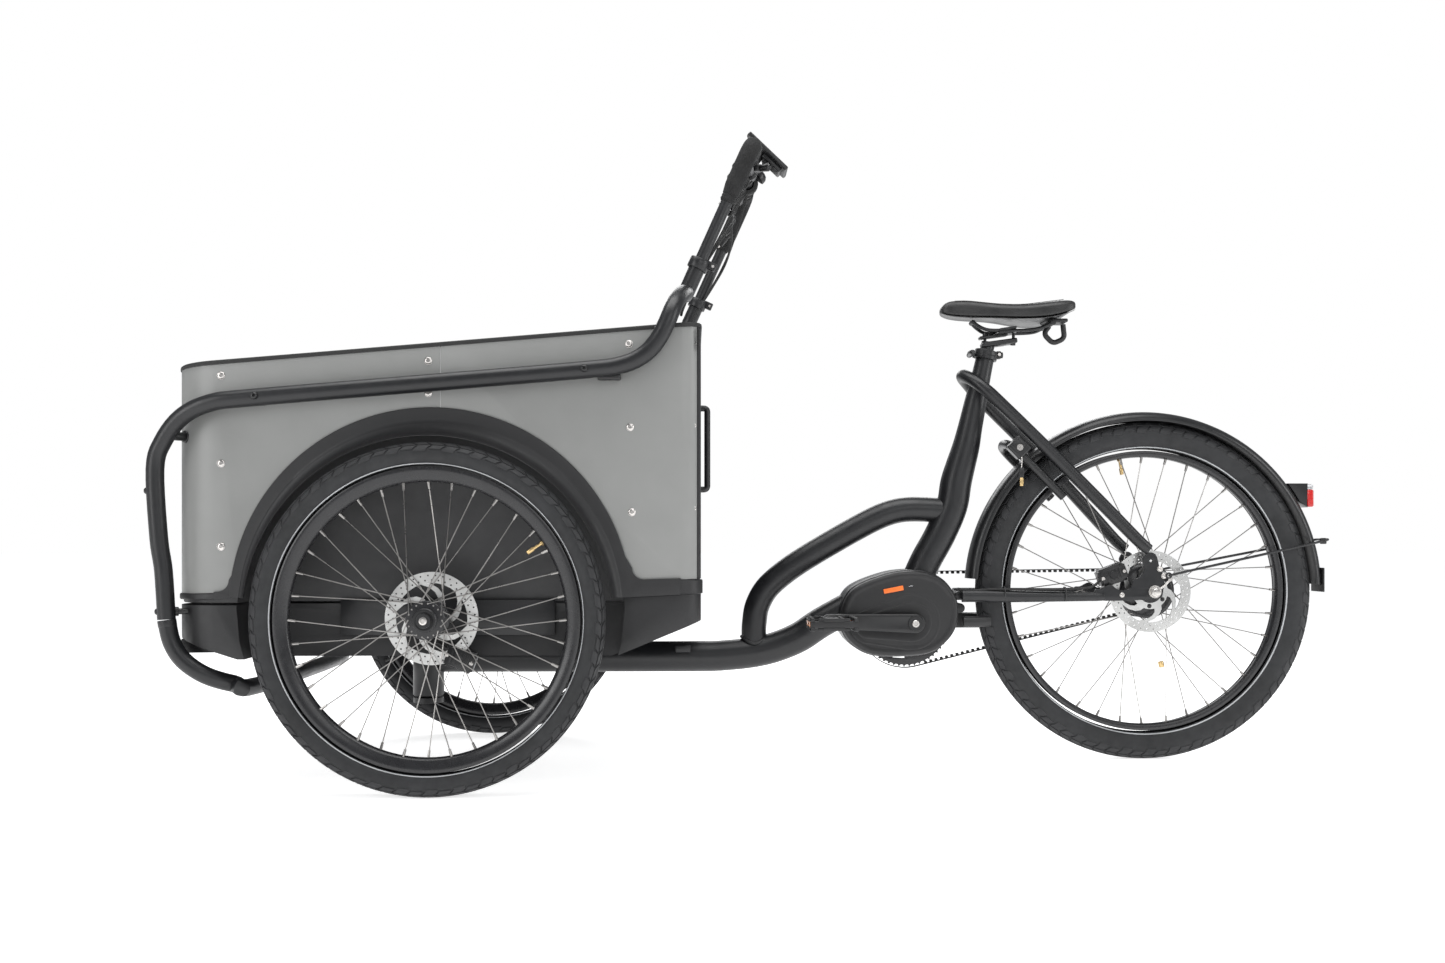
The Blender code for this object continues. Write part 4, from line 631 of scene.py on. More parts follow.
def side_screws():
    heads = [(-0.962, 0.716), (-0.610, 0.742), (-0.267, 0.772), (-0.962, 0.566), (-0.962, 0.424),
             (-0.265, 0.629), (-0.262, 0.483), (-0.610, 0.687)]
    for side, sign in SIDES:
        shape = Shape()
        for x, z in heads:
            shape.screw((x, sign * (BOX_SIDE + PROUD), z), (0, sign, 0), 0.0062, 0.34)
        for z in (0.776, 0.633, 0.490):
            shape.screw((-0.1550, sign * 0.3535, z), (0.58, sign * 0.81, 0), 0.0050, 0.34)
        for z in (0.700, 0.560, 0.420):
            shape.screw((BOX_FRONT - PROUD, sign * 0.262, z), (-1, 0, 0), 0.0062, 0.34)
        shape.made(f"panel_screws_{side}", STEEL, "front_module")


def arch(side, sign):
    """The moulding round a front wheel: a flat band, a dished band and a lip over the tyre."""
    x, z = FRONT_WHEEL
    lip, outer, outer_z = 0.3110, 0.343, 0.319
    base = BAND_BASE
    flat = BOX_SIDE + 0.0008
    starts = [atan2(base - outer_z, outer), atan2(base - z, lip)]
    # Share of the way from the outer edge to the lip, and how far it stands out.
    outside = [(0.0, 0.0000), (0.0, 0.0022), (0.02, 0.0030), (0.40, 0.0030), (0.47, 0.0034),
               (0.52, 0.0050), (0.56, 0.0058), (0.66, 0.0074), (0.78, 0.0125), (0.88, 0.0200),
               (0.955, 0.0295), (0.985, 0.0345), (1.0, 0.0352), (1.015, 0.0340)]
    inside = [(1.0, 0.0310), (0.94, 0.0250), (0.86, 0.0165), (0.76, 0.0090), (0.62, 0.0036),
              (0.5, 0.0000)]
    profile = outside + inside
    steps = 96
    rings = []
    for step in range(steps + 1):
        ends = []
        for start, centre_z, radius in ((starts[0], outer_z, outer), (starts[1], z, lip)):
            angle = start + (pi - 2 * start) * step / steps
            ends.append(Vector((x + radius * cos(angle), 0, centre_z + radius * sin(angle))))
        rings.append([ends[0].lerp(ends[1], share) + Vector((0, sign * (flat + out), 0))
                      for share, out in profile])
    shape = Shape().skin(rings)
    low, high = sorted((sign * (flat + 0.0004), sign * (flat + 0.0028)))
    for away, stop in ((-1, BOX_FRONT + FRONT_CORNER), (1, BOX_REAR - REAR_CORNER)):
        fillet = 0.020
        edge = x + away * 0.3433
        centre = edge + away * fillet
        raised = box_bottom(centre) + 0.002 + fillet
        outline = [(edge - away * 0.010, base), (stop, base + BAND_SLOPE * (stop - x)),
                   (stop, box_bottom(stop) + 0.002)]
        outline += [(centre - away * fillet * sin(radians(turn)),
                     raised - fillet * cos(radians(turn))) for turn in range(0, 91, 9)]
        outline.append((edge - away * 0.012, raised + 0.02))
        shape.plate([outline], low, high, 0.0006)
    shape.made(f"wheel_arch_{side}_moulding", MOULDED, "front_module", "wheel_arch_" + side,
               sharp=28)


def bands():
    """The dark strip under the panels where it turns round the corners."""
    for side, sign in SIDES:
        for place, path in (
                ("front", [(x, y) for x, y in box_outline(0) if y * sign > 0 and x < -0.970]),
                ("rear", [(x, y) for x, y in box_outline(0) if y * sign > 0 and x > -0.180])):
            rows = [(0.0, 0.0), (0.0018, 0.0005), (0.0030, 0.0020),
                    (0.0030, 0.0085), (0.0018, 0.0105), (0.0, 0.0110)]
            if place == "rear":
                rows = [(0.0, 0.0), (0.0030, 0.0015), (0.0030, 0.0225), (0.0018, 0.0250),
                        (0.0, 0.0255)]
            line = [(x, y, BAND_BASE + BAND_SLOPE * (x - FRONT_WHEEL[0])) for x, y in path]
            strip(line, rows).made(f"box_band_{place}_{side}", MOULDED, "front_module")


def box():
    for node in ("panel_front", "panel_left", "panel_right"):
        refined(node, node + "_painted", PANEL, "front_module", 0.0008, 50)
    refined("panel_rear", "panel_rear_moulded", MOULDED, "front_module", 0.0008, 50)
    refined("cargo_liner", "cargo_liner_board", LINING, "front_module", 0.0012, 50)
    refined("base_tray", "base_tray_moulded", MOULDED, "front_module", 0.0014, 40)
    path = [(x, y, box_top(x)) for x, y in box_outline(0.0045)]
    edge = [(-0.0072, -0.0020), (0.0058, -0.0020), (0.0062, 0.0008), (0.0056, 0.0040),
            (0.0038, 0.0056), (-0.0050, 0.0056), (-0.0068, 0.0040)]
    strip(path, edge, closed=True).made("top_trim_rubber", RUBBER, "front_module", "top_trim")
    for side, sign in SIDES:
        arch(side, sign)
        seam = Shape()
        low, high = sorted((sign * (BOX_SIDE - 0.0005), sign * (BOX_SIDE + 0.0003)))
        seam.block((-0.5893, (low + high) / 2, 0.7115), (0.0011, high - low, 0.108),
                   rounding=0.0002)
        seam.made(f"panel_{side}_edge", ALUMINIUM, "front_module")
    bands()
    side_screws()
    lens = Shape()
    lens.block((BOX_FRONT - 0.0035, -0.250, 0.7000), (0.0060, 0.024, 0.014), rounding=0.0015)
    lens.block((BOX_FRONT - 0.0035, 0.250, 0.7000), (0.0060, 0.024, 0.014), rounding=0.0015)
    lens.made("front_reflectors", AMBER, "front_module")
    handle = Shape()
    handle.tube(filleted([(BOX_REAR, -0.250, 0.672), (BOX_REAR + 0.012, -0.250, 0.672),
                          (BOX_REAR + 0.012, -0.250, 0.526), (BOX_REAR, -0.250, 0.526)], 0.006),
                0.0055, 16)
    handle.made("rear_wall_handle", SMOOTH_PLASTIC, "front_module")
    slot = Shape()
    slot.block((-0.1475, -0.3560, 0.7810), (0.0022, 0.0060, 0.036), rounding=0.0010)
    slot.made("rear_wall_slot", DARK, "front_module")


box()


# Bars, handlebar and its controls.

BAR_RUN = [
    (-1.0540, 0.366, 0.3000), (-1.0590, 0.366, 0.3820), (-1.0670, 0.366, 0.4390),
    (-1.0730, 0.367, 0.5560), (-1.0580, 0.371, 0.6030), (-1.0240, 0.378, 0.6440),
    (-0.9750, 0.384, 0.6670), (-0.9060, 0.386, 0.6760), (-0.6300, 0.386, 0.6997),
    (-0.3490, 0.386, 0.7240), (-0.2800, 0.386, 0.7330), (-0.2420, 0.386, 0.7500),
    (-0.2180, 0.386, 0.7750), (-0.2020, 0.386, 0.8050), (-0.1930, 0.379, 0.8280),
    (-0.1850, 0.357, 0.8480), (-0.1780, 0.320, 0.8640), (-0.1730, 0.270, 0.8760),
    (-0.1705, 0.2320, 0.8830)]
LOOP_RUN = [
    (-1.0533, 0.366, 0.2960), (-1.0450, 0.366, 0.2610), (-1.0253, 0.366, 0.2300),
    (-0.9900, 0.360, 0.2040), (-0.9500, 0.335, 0.1870), (-0.9250, 0.290, 0.1790)]
COLLAR = Vector((-0.143, 0.0, 0.945))
GRIP_TOP = Vector((-0.046, 0.0, 1.161))
RISE = (GRIP_TOP - COLLAR).normalized()
HALF_BAR = 0.2165


def side_bars():
    for side, sign in SIDES:
        foot = COLLAR - RISE * 0.062
        run = BAR_RUN + [(foot.x, HALF_BAR, foot.z), (COLLAR.x, HALF_BAR, COLLAR.z)]
        shape = Shape().tube(flowing([(x, sign * y, z) for x, y, z in run], 5), 0.015, 28)
        top = Vector((COLLAR.x, sign * HALF_BAR, COLLAR.z))
        ring = [(0.0155, -0.0180), (0.0182, -0.0176), (0.0190, -0.0165), (0.0190, 0.0005),
                (0.0182, 0.0016), (0.0115, 0.0020)]
        shape.turned(ring, top, RISE, 40)
        ear = top + Vector((0.0235, 0, 0)) - RISE * 0.0115
        back = Vector((RISE.z, 0, -RISE.x))
        turn = Matrix((back, (0, 1, 0), RISE)).transposed().to_4x4()
        shape.block(ear, (0.019, 0.011, 0.015), turn, 0.002)
        shape.made(f"side_bar_{side}_tube", PAINT, "front_module", "side_bar_" + side, sharp=45)
        bolts = Shape()
        spot = ear + back * 0.004
        bolts.rod(spot + Vector((0, -0.0085, 0)), spot + Vector((0, 0.0085, 0)), 0.0028, 6)
        bolts.made(f"collar_bolt_{side}", STEEL, "front_module")
        heads = Shape()
        for x, z in ((-0.895, 0.6770), (-0.341, 0.7245)):
            heads.screw((x, sign * 0.4008, z + 0.001), (0, sign, 0.1), 0.0062, 0.75)
        for x, y, z in ((-1.0868, 0.367, 0.519), (-1.0690, 0.366, 0.313)):
            heads.screw((x, sign * y, z), (-1, 0, 0), 0.0058, 0.75)
        heads.rod((-1.0500, sign * 0.350, 0.3125), (-1.0180, sign * 0.338, 0.3125), 0.0052, 20)
        heads.rod((-1.0480, sign * 0.350, 0.3125), (-1.0400, sign * 0.348, 0.3125), 0.0080, 20,
                  rounding=0.001)
        heads.rod((-1.0480, sign * 0.360, 0.613), (-1.0240, sign * 0.330, 0.613), 0.0075, 20)
        heads.rod((-1.0330, sign * 0.342, 0.613), (-1.0230, sign * 0.330, 0.613), 0.0110, 20,
                  rounding=0.0015)
        heads.block((-0.300, sign * 0.3755, 0.7135), (0.040, 0.020, 0.010), rounding=0.003)
        heads.block((-0.895, sign * 0.3755, 0.6700), (0.020, 0.020, 0.012), rounding=0.003)
        heads.made(f"bar_mounts_{side}", SMOOTH_PLASTIC, "front_module")
    near = [(x, -y, z) for x, y, z in LOOP_RUN]
    path = flowing(near + [(x, -y, z) for x, y, z in reversed(near)], 6)
    shape = Shape().tube(path, 0.015, 28)
    for sign in (-1, 1):
        shape.rod((-1.0536, sign * 0.366, 0.2990), (-1.0520, sign * 0.366, 0.2880), 0.0154, 32,
                  rounding=0.0005)
    shape.made("bumper_tube", PAINT, "front_module", "bumper_loop", sharp=45)


def handlebar():
    foot = COLLAR - RISE * 0.050
    corners = [(foot.x, -HALF_BAR, foot.z), (GRIP_TOP.x, -HALF_BAR, GRIP_TOP.z),
               (GRIP_TOP.x, HALF_BAR, GRIP_TOP.z), (foot.x, HALF_BAR, foot.z)]
    Shape().tube(filleted(corners, 0.045, 12), 0.011, 28).made(
        "handlebar_tube", PAINT, "handlebar", "handlebar", sharp=45)
    for side, sign in SIDES:
        low = GRIP_TOP - RISE * 0.1205
        start = Vector((low.x, sign * HALF_BAR, low.z))
        corner = Vector((GRIP_TOP.x, sign * HALF_BAR, GRIP_TOP.z))
        end = Vector((GRIP_TOP.x, sign * 0.152, GRIP_TOP.z))
        line = filleted([start, corner, end], 0.045, 14)
        length = sum((b - a).length for a, b in zip(line, line[1:]))
        fine, travelled = [], 0.0
        for a, b in zip(line, line[1:]):
            steps = max(int((b - a).length / 0.0022), 1)
            for step in range(steps):
                place = a.lerp(b, step / steps)
                along = travelled + (b - a).length * step / steps
                if along < 0.017:
                    share = 0.80 + 0.05 * cos(2 * pi * along / 0.0052)
                else:
                    share = min(0.86 + (along - 0.017) * 9, 1.0)
                share *= 1.0 - 0.14 * max(0.0, 1 - (length - along) / 0.004)
                fine.append((*place, share))
            travelled += (b - a).length
        fine.append((*line[-1], 0.82))
        fine[0] = (*start, 0.70)
        Shape().tube(fine, 0.0172, 32).made(f"foam_grip_{side}", FOAM, "handlebar", sharp=50)
    controls()
    cables()
    screen()


def controls():
    forward = Vector((-0.63, 0, -0.78)).normalized()
    across = Vector((0, 1, 0))
    pull = forward.cross(across)
    turn = Matrix((forward, across, pull)).transposed().to_4x4()
    for side, sign in SIDES:
        shape = Shape()
        spot = GRIP_TOP + across * sign * 0.140
        shape.rod(spot - across * 0.0085, spot + across * 0.0085, 0.0158, 40, rounding=0.0015)
        shape.block(spot + forward * 0.0300, (0.040, 0.016, 0.014), turn, 0.0035)
        body = spot + forward * 0.026 - across * sign * 0.022 + pull * 0.001
        shape.rod(body + across * sign * 0.030, body - across * sign * 0.034, 0.0098, 28,
                  rounding=0.002)
        shape.block(body - pull * 0.010 + forward * 0.002, (0.027, 0.050, 0.014), turn, 0.0035)
        shape.block(spot + forward * 0.056 + pull * 0.007, (0.016, 0.018, 0.004), turn, 0.0015)
        shape.block(spot + forward * 0.056 - pull * 0.007, (0.016, 0.018, 0.004), turn, 0.0015)
        shape.rod(body - across * sign * 0.034, body - across * sign * 0.046, 0.0048, 20, 0.0038)
        shape.made(f"brake_master_{side}", SMOOTH_PLASTIC, "handlebar")
        bolts = Shape()
        for away in (-0.0135, 0.0135):
            bolts.screw(body - pull * 0.0172 + across * away + forward * 0.002, -pull, 0.0026, 0.5)
        pin = spot + forward * 0.058
        bolts.rod(pin - pull * 0.0098, pin + pull * 0.0098, 0.0024, 16)
        bolts.made(f"brake_bolts_{side}", STEEL, "handlebar")
        pivot = spot + forward * 0.058
        blade = Shape()
        line = [(0.010, -0.004, 0.9), (0.004, 0.000, 1.2), (-0.012, 0.003, 1.15),
                (-0.034, 0.004, 0.95), (-0.060, 0.002, 0.9), (-0.082, -0.001, 0.95),
                (-0.094, 0.001, 1.0)]
        points = [(*(pivot + across * sign * along + forward * out), share)
                  for along, out, share in line]
        blade.tube(flowing(points, 6), 0.0052, 20, flat=0.72)
        blade.rod(pivot - pull * 0.0045, pivot + pull * 0.0045, 0.0062, 24, rounding=0.001)
        blade.made(f"brake_blade_{side}", SMOOTH_PLASTIC, "brake_lever_" + side,
                   "brake_lever_" + side)
        tip = Shape()
        end = pivot - across * sign * 0.094 + forward * 0.001
        tip.rod(end + across * sign * 0.003, end - across * sign * 0.0025, 0.0056, 20,
                rounding=0.0015)
        tip.made(f"brake_tip_{side}", ALUMINIUM, "brake_lever_" + side)
    bell = Shape()
    spot = GRIP_TOP + across * 0.084
    dome = [(0.0, 0.0165), (0.008, 0.0158), (0.014, 0.0128), (0.0175, 0.0075), (0.0182, 0.0),
            (0.0165, -0.0008), (0.0, -0.0008)]
    bell.turned(dome, spot + Vector((0.020, 0, 0.014)), (0.72, 0, 0.69), 48)
    bell.rod(spot - across * 0.006, spot + across * 0.006, 0.0150, 36, rounding=0.001)
    bell.made("bell", SMOOTH_PLASTIC, "handlebar")
    shifter = Shape()
    ribbed = []
    for step in range(44):
        ribbed.append((0.0178 + (0.0007 if step % 2 else -0.0004), 0.0365 * step / 43))
    profile = [(0.0112, 0.0), (0.0150, -0.0008)] + ribbed + [(0.0112, 0.0370)]
    shifter.turned(profile, GRIP_TOP + across * 0.0925, (0, 1, 0), 64)
    shifter.turned([(0.0112, 0.0), (0.0200, 0.0), (0.0225, 0.0020), (0.0225, 0.0120),
                    (0.0200, 0.0145), (0.0112, 0.0145)], GRIP_TOP + across * 0.0780, (0, 1, 0), 64)
    shifter.made("twist_shifter", RUBBER, "handlebar")
    thumb = Shape()
    spot = GRIP_TOP - across * 0.100
    thumb.rod(spot - across * 0.0075, spot + across * 0.0075, 0.0150, 36, rounding=0.001)
    thumb.block(spot + Vector((0.013, 0, -0.016)), (0.016, 0.013, 0.014), rounding=0.003)
    thumb.rod(spot + Vector((0.016, -0.004, -0.018)), spot + Vector((0.034, -0.010, -0.016)),
              0.0060, 20, 0.0085, 0.002)
    thumb.made("thumb_switch", SMOOTH_PLASTIC, "handlebar")
    low = GRIP_TOP - RISE * 0.028
    for side, sign in SIDES:
        clamp = Shape()
        point = low + across * sign * 0.180 + forward * 0.010
        clamp.block(point + Vector((-0.030, 0, -0.062)), (0.022, 0.016, 0.015), turn, 0.003)
        clamp.rod(point + Vector((-0.010, 0, -0.046)), point + Vector((-0.030, 0, -0.062)), 0.0045,
                  16)
        clamp.made(f"bar_end_switch_{side}", SMOOTH_PLASTIC, "handlebar")
        cap = Shape()
        cap.rod(point + Vector((-0.0385, 0, -0.0700)), point + Vector((-0.0420, 0, -0.0733)),
                0.0058, 20, rounding=0.0008)
        cap.made(f"bar_end_cap_{side}", STEEL, "handlebar")


def cables():
    """Brake hoses, the gear cable and the display's lead, from the controls to the box."""
    shape = Shape()
    for sign in (-1, 1):
        # Behind the brake blade, so that a pulled blade stays clear of the hose.
        start = GRIP_TOP + Vector((-0.0160, sign * 0.072, -0.0205))
        route = [start, start + Vector((0.0060, -sign * 0.012, -0.0010)),
                 start + Vector((0.0140, -sign * 0.027, -0.0070)),
                 (-0.0620, sign * 0.026, 1.112), (-0.0770, sign * 0.040, 1.080),
                 (-0.078, sign * 0.115, 1.043), (-0.090, sign * 0.180, 1.012),
                 (-0.117, sign * 0.2030, 0.968), (-0.160, sign * 0.2040, 0.900),
                 (-0.172, sign * 0.2350, 0.866), (-0.178, sign * 0.262, 0.838)]
        shape.tube(flowing(route, 8), 0.0025, 12)
    shape.tube(flowing([(-0.046, 0.080, 1.139), (-0.052, 0.074, 1.112), (-0.064, 0.090, 1.075),
                        (-0.080, 0.150, 1.035), (-0.102, 0.198, 0.995), (-0.128, 0.2045, 0.953),
                        (-0.158, 0.2010, 0.898), (-0.176, 0.228, 0.850)], 8), 0.0022, 12)
    shape.tube(flowing([(-0.040, -0.010, 1.143), (-0.052, -0.040, 1.124), (-0.060, -0.090, 1.105),
                        (-0.066, -0.150, 1.078), (-0.088, -0.198, 1.030), (-0.128, -0.2045, 0.953),
                        (-0.158, -0.2010, 0.898), (-0.176, -0.228, 0.850)], 8), 0.0018, 12)
    shape.made("control_cables", RUBBER, "handlebar")


def screen():
    centre = Vector((-0.0095, 0, 1.1975))
    turn = Matrix.Rotation(radians(43.4), 4, "Y")
    out = turn @ Vector((0, 0, 1))
    along = turn @ Vector((1, 0, 0))
    shape = Shape()
    shape.block(centre, (0.103, 0.066, 0.009), turn, 0.0028, 4)
    shape.block(centre - out * 0.0085 + along * 0.020, (0.046, 0.044, 0.010), turn, 0.002)
    shape.block(centre - out * 0.0140 + along * 0.012, (0.020, 0.030, 0.008), turn, 0.002)
    shape.rod(centre - along * 0.010, GRIP_TOP + Vector((0.003, 0, 0.008)), 0.0075, 24)
    shape.turned([(0.0113, -0.012), (0.0165, -0.0115), (0.0168, -0.0100), (0.0168, 0.0100),
                  (0.0165, 0.0115), (0.0113, 0.012)], GRIP_TOP, (0, 1, 0), 48)
    for place in (-1, 1):
        shape.block(centre - along * 0.0490 + Vector((0, place * 0.020, 0)),
                    (0.006, 0.014, 0.0098), turn, 0.0015)
    shape.made("display_housing", SMOOTH_PLASTIC, "screen", "display")
    Shape().block(centre + out * 0.0042 + along * 0.004, (0.082, 0.056, 0.0012), turn,
                  0.0004).made("display_screen", GLASS, "screen")
    Shape().screw(GRIP_TOP + Vector((-0.0168, 0, -0.001)), (-1, 0, -0.1), 0.0026, 0.6).made(
        "display_bolt", STEEL, "screen")


# Rear frame and its drive.

AXLE = Vector((0.739, 0, 0.3345))
SEAT_TOP, SEAT_FOOT = Vector((0.4275, 0, 0.812)), Vector((0.3860, 0, 0.620))
SEAT_AXIS = (SEAT_TOP - SEAT_FOOT).normalized()
CRANK = Vector((0.272, 0, 0.274))
MAIN_RUN = [(x, 0, z) for x, z in (
    (-0.650, 0.205), (-0.400, 0.205), (-0.150, 0.205), (-0.090, 0.207), (-0.035, 0.213),
    (0.010, 0.224), (0.055, 0.243), (0.096, 0.270), (0.150, 0.300))]
UPPER_RUN = [(x, 0, z) for x, z in (
    (-0.035, 0.205), (-0.036, 0.250), (-0.0345, 0.275), (-0.029, 0.305), (-0.011, 0.338),
    (0.020, 0.367), (0.063, 0.397), (0.139, 0.442), (0.200, 0.475), (0.241, 0.491),
    (0.281, 0.496), (0.350, 0.493))]


def welded_joint(shape, centre, axis, radius, other_radius):
    """A rippled bead where a tube lands on another."""
    axis = Vector(axis).normalized()
    across = Vector((0, 1, 0))
    third = axis.cross(across)
    points = []
    for step in range(72):
        angle = 2 * pi * step / 72
        sideways = radius * cos(angle)
        drop = other_radius - (max(other_radius ** 2 - sideways ** 2, 0.0)) ** 0.5
        place = Vector(centre) + across * sideways + third * radius * sin(angle) - axis * drop
        points.append((*place, 1.0 + 0.25 * (step % 2)))
    shape.tube(points, 0.0026, 8, closed=True)


def frame_tubes():
    body = "rear_frame"
    shape = Shape().tube(flowing(MAIN_RUN, 6), 0.030, 40)
    head = Vector((-0.677, 0, 0))
    shape.turned([(0.0156, 0.1300), (0.0285, 0.1300), (0.0300, 0.1315), (0.0300, 0.2560),
                  (0.0285, 0.2575), (0.0156, 0.2575)], head, (0, 0, 1), 48)
    shape.made("main_tube_painted", PAINT, body, "main_tube", sharp=45)
    Shape().tube(flowing(UPPER_RUN, 6), 0.0245, 36).made(
        "upper_tube_painted", PAINT, body, "upper_tube", sharp=45)
    beads = Shape()
    welded_joint(beads, (-0.0355, 0, 0.2440), (0, 0, 1), 0.0250, 0.031)
    welded_joint(beads, (0.3320, 0, 0.4938), (-1, 0, 0.05), 0.0250, 0.030)
    beads.made("weld_beads", PAINT, body, sharp=60)
    run = [(*(SEAT_TOP - SEAT_AXIS * down), share) for down, share in ((0.014, 0.58),
                                                                       (0.055, 0.62))]
    run += [(*(SEAT_FOOT + SEAT_AXIS * up), share) for up, share in ((0.09, 0.71), (0.04, 0.78),
                                                                    (0.0, 0.87))]
    run += [(0.3745, 0, 0.580, 0.95), (0.366, 0, 0.548, 1.0), (0.3575, 0, 0.500, 1.0),
           (0.334, 0, 0.445, 1.0), (0.308, 0, 0.398, 1.0), (0.292, 0, 0.364, 1.0)]
    Shape().tube(flowing(run, 6), 0.0308, 44).made("seat_tube_painted", PAINT, body, "seat_tube",
                                                  sharp=50)
    rest = Shape()
    rest.block((-0.176, -0.031, 0.222), (0.030, 0.006, 0.014), rounding=0.002)
    rest.block((-0.176, 0.031, 0.222), (0.030, 0.006, 0.014), rounding=0.002)
    rest.made("steering_stops", PAINT, body)


side_bars()
handlebar()
frame_tubes()


MOTOR = [
    (0.129, 0.275), (0.134, 0.312), (0.158, 0.345), (0.220, 0.370), (0.272, 0.377),
    (0.312, 0.370), (0.343, 0.348), (0.362, 0.309), (0.354, 0.256), (0.314, 0.217),
    (0.255, 0.207), (0.187, 0.211), (0.145, 0.238)]


def shrunk(outline, by):
    """The outline moved in along its own normals."""
    count = len(outline)
    result = []
    for index, (x, z) in enumerate(outline):
        before, after = outline[index - 1], outline[(index + 1) % count]
        run = Vector((after[0] - before[0], after[1] - before[1])).normalized()
        result.append((x + run.y * by, z - run.x * by))
    return result


def lofted(shape, rings):
    """Skins across outlines of (x, z), each at its own y."""
    return shape.skin([[(x, y, z) for x, z in outline] for outline, y in rings])


def motor():
    smooth = flowing(MOTOR, 8, closed=True)
    if Vector((smooth[1][0] - smooth[0][0], smooth[1][1] - smooth[0][1])).cross(
            Vector((0.245 - smooth[0][0], 0.29 - smooth[0][1]))) > 0:
        smooth.reverse()
    shape = Shape()
    lofted(shape, [(shrunk(smooth, by), y) for by, y in (
        (0.0030, 0.0450), (0.0008, 0.0440), (0.0, 0.0415), (0.0, 0.0060), (0.0015, 0.0050),
        (0.0015, 0.0030), (0.0, 0.0020), (0.0, -0.0400), (0.0006, -0.0425), (0.0022, -0.0440))])
    shape.made("motor_housing_cast", PAINT, "rear_frame", "motor_housing", sharp=50)
    cover = Shape()
    face = -0.0643
    lofted(cover, [(shrunk(smooth, by), y) for by, y in (
        (0.0040, -0.0443), (0.0022, -0.0450), (0.0020, -0.0480), (0.0026, -0.0560),
        (0.0044, -0.0612), (0.0070, face + 0.0008), (0.0105, face), (0.0130, face + 0.0004),
        (0.0150, face + 0.0016), (0.0175, face + 0.0019), (0.0260, face + 0.0014))])
    # A long pressing behind the crank, with a smaller one inside it.
    left, right = (0.182, 0.266), (0.268, 0.276)
    for radius_left, radius_right, out in ((0.0330, 0.0560, 0.0004), (0.0225, 0.0395, 0.0012)):
        line = wrapped(right, radius_right, left, radius_left, 36)
        rise = face + 0.0014 - out
        lofted(cover, [(line, face + 0.004), (line, rise + 0.0005),
                       (shrink_to_middle(line, 0.0008), rise),
                       (shrink_to_middle(line, 0.0034), rise - 0.0002),
                       (shrink_to_middle(line, 0.0060), rise + 0.0006)])
    cover.made("motor_cover_moulded", MOULDED, "rear_frame", "motor_cover", sharp=50)
    badge = Shape()
    turn = Matrix.Rotation(radians(-11), 4, "Y")
    badge.block((0.2325, face + 0.0003, 0.3385), (0.0390, 0.0016, 0.0092), turn, 0.00075, 3)
    badge.made("motor_badge", ORANGE, "rear_frame")
    light = Shape()
    light.block((0.2665, face + 0.0012, 0.3455), (0.0085, 0.0010, 0.0022), turn, 0.0004)
    light.made("motor_indicator", CLEAR, "rear_frame")
    bolts = Shape()
    for x, z in ((0.150, 0.322), (0.346, 0.322), (0.196, 0.2150), (0.330, 0.2360)):
        bolts.screw((x, -0.0440, z), (0, -1, 0), 0.0048, 0.6)
    bolts.rod((0.3690, -0.030, 0.301), (0.3690, 0.030, 0.301), 0.0095, 28, rounding=0.0015)
    bolts.rod((0.3650, -0.036, 0.326), (0.3650, 0.036, 0.326), 0.0080, 28, rounding=0.0015)
    bolts.rod((0.1330, -0.028, 0.270), (0.1330, 0.028, 0.270), 0.0085, 28, rounding=0.0015)
    bolts.made("motor_fixings", SMOOTH_PLASTIC, "rear_frame")


def shrink_to_middle(line, by):
    """The outline moved in by a fixed distance, whichever way it runs."""
    area = sum(a[0] * b[1] - b[0] * a[1] for a, b in zip(line, line[1:] + line[:1]))
    return shrunk(line, -by if area > 0 else by)


def cranks():
    for side, sign in SIDES:
        tip = Vector((CRANK.x + sign * 0.167, sign * 0.080, CRANK.z - sign * 0.004))
        root = Vector((CRANK.x, sign * 0.080, CRANK.z))
        shape = Shape()
        big = wrapped((root.x, root.z), 0.0185, (tip.x, tip.z), 0.0140, 28)
        low, high = sorted((sign * 0.0735, sign * 0.0865))
        shape.plate([big, circle(root.x, root.z, 0.0100, 24)], low, high, 0.0028)
        shape.rod((root.x, sign * 0.0840, root.z), (root.x, sign * 0.0885, root.z), 0.0150, 36,
                  0.0140)
        shape.rod((tip.x, sign * 0.0720, tip.z), (tip.x, sign * 0.0870, tip.z), 0.0118, 28,
                  rounding=0.001)
        shape.made(f"crank_{side}_forged", SMOOTH_PLASTIC, "crankset", "crank_" + side, sharp=40)
        bolt = Shape()
        profile = [(0.0, 0.0010), (0.0030, 0.0010), (0.0034, 0.0030), (0.0058, 0.0030),
                   (0.0068, 0.0022), (0.0070, 0.0), (0.0, -0.0010)]
        bolt.turned(profile, (root.x, sign * 0.0884, root.z), (0, sign, 0), 24)
        bolt.made(f"crank_bolt_{side}", STEEL, "crankset")
        pedal(side, sign, tip)
    spindle = Shape()
    spindle.rod((CRANK.x, -0.0860, CRANK.z), (CRANK.x, 0.0860, CRANK.z), 0.0099, 32)
    spindle.made("crank_spindle_turned", STEEL, "crankset", "crank_spindle")


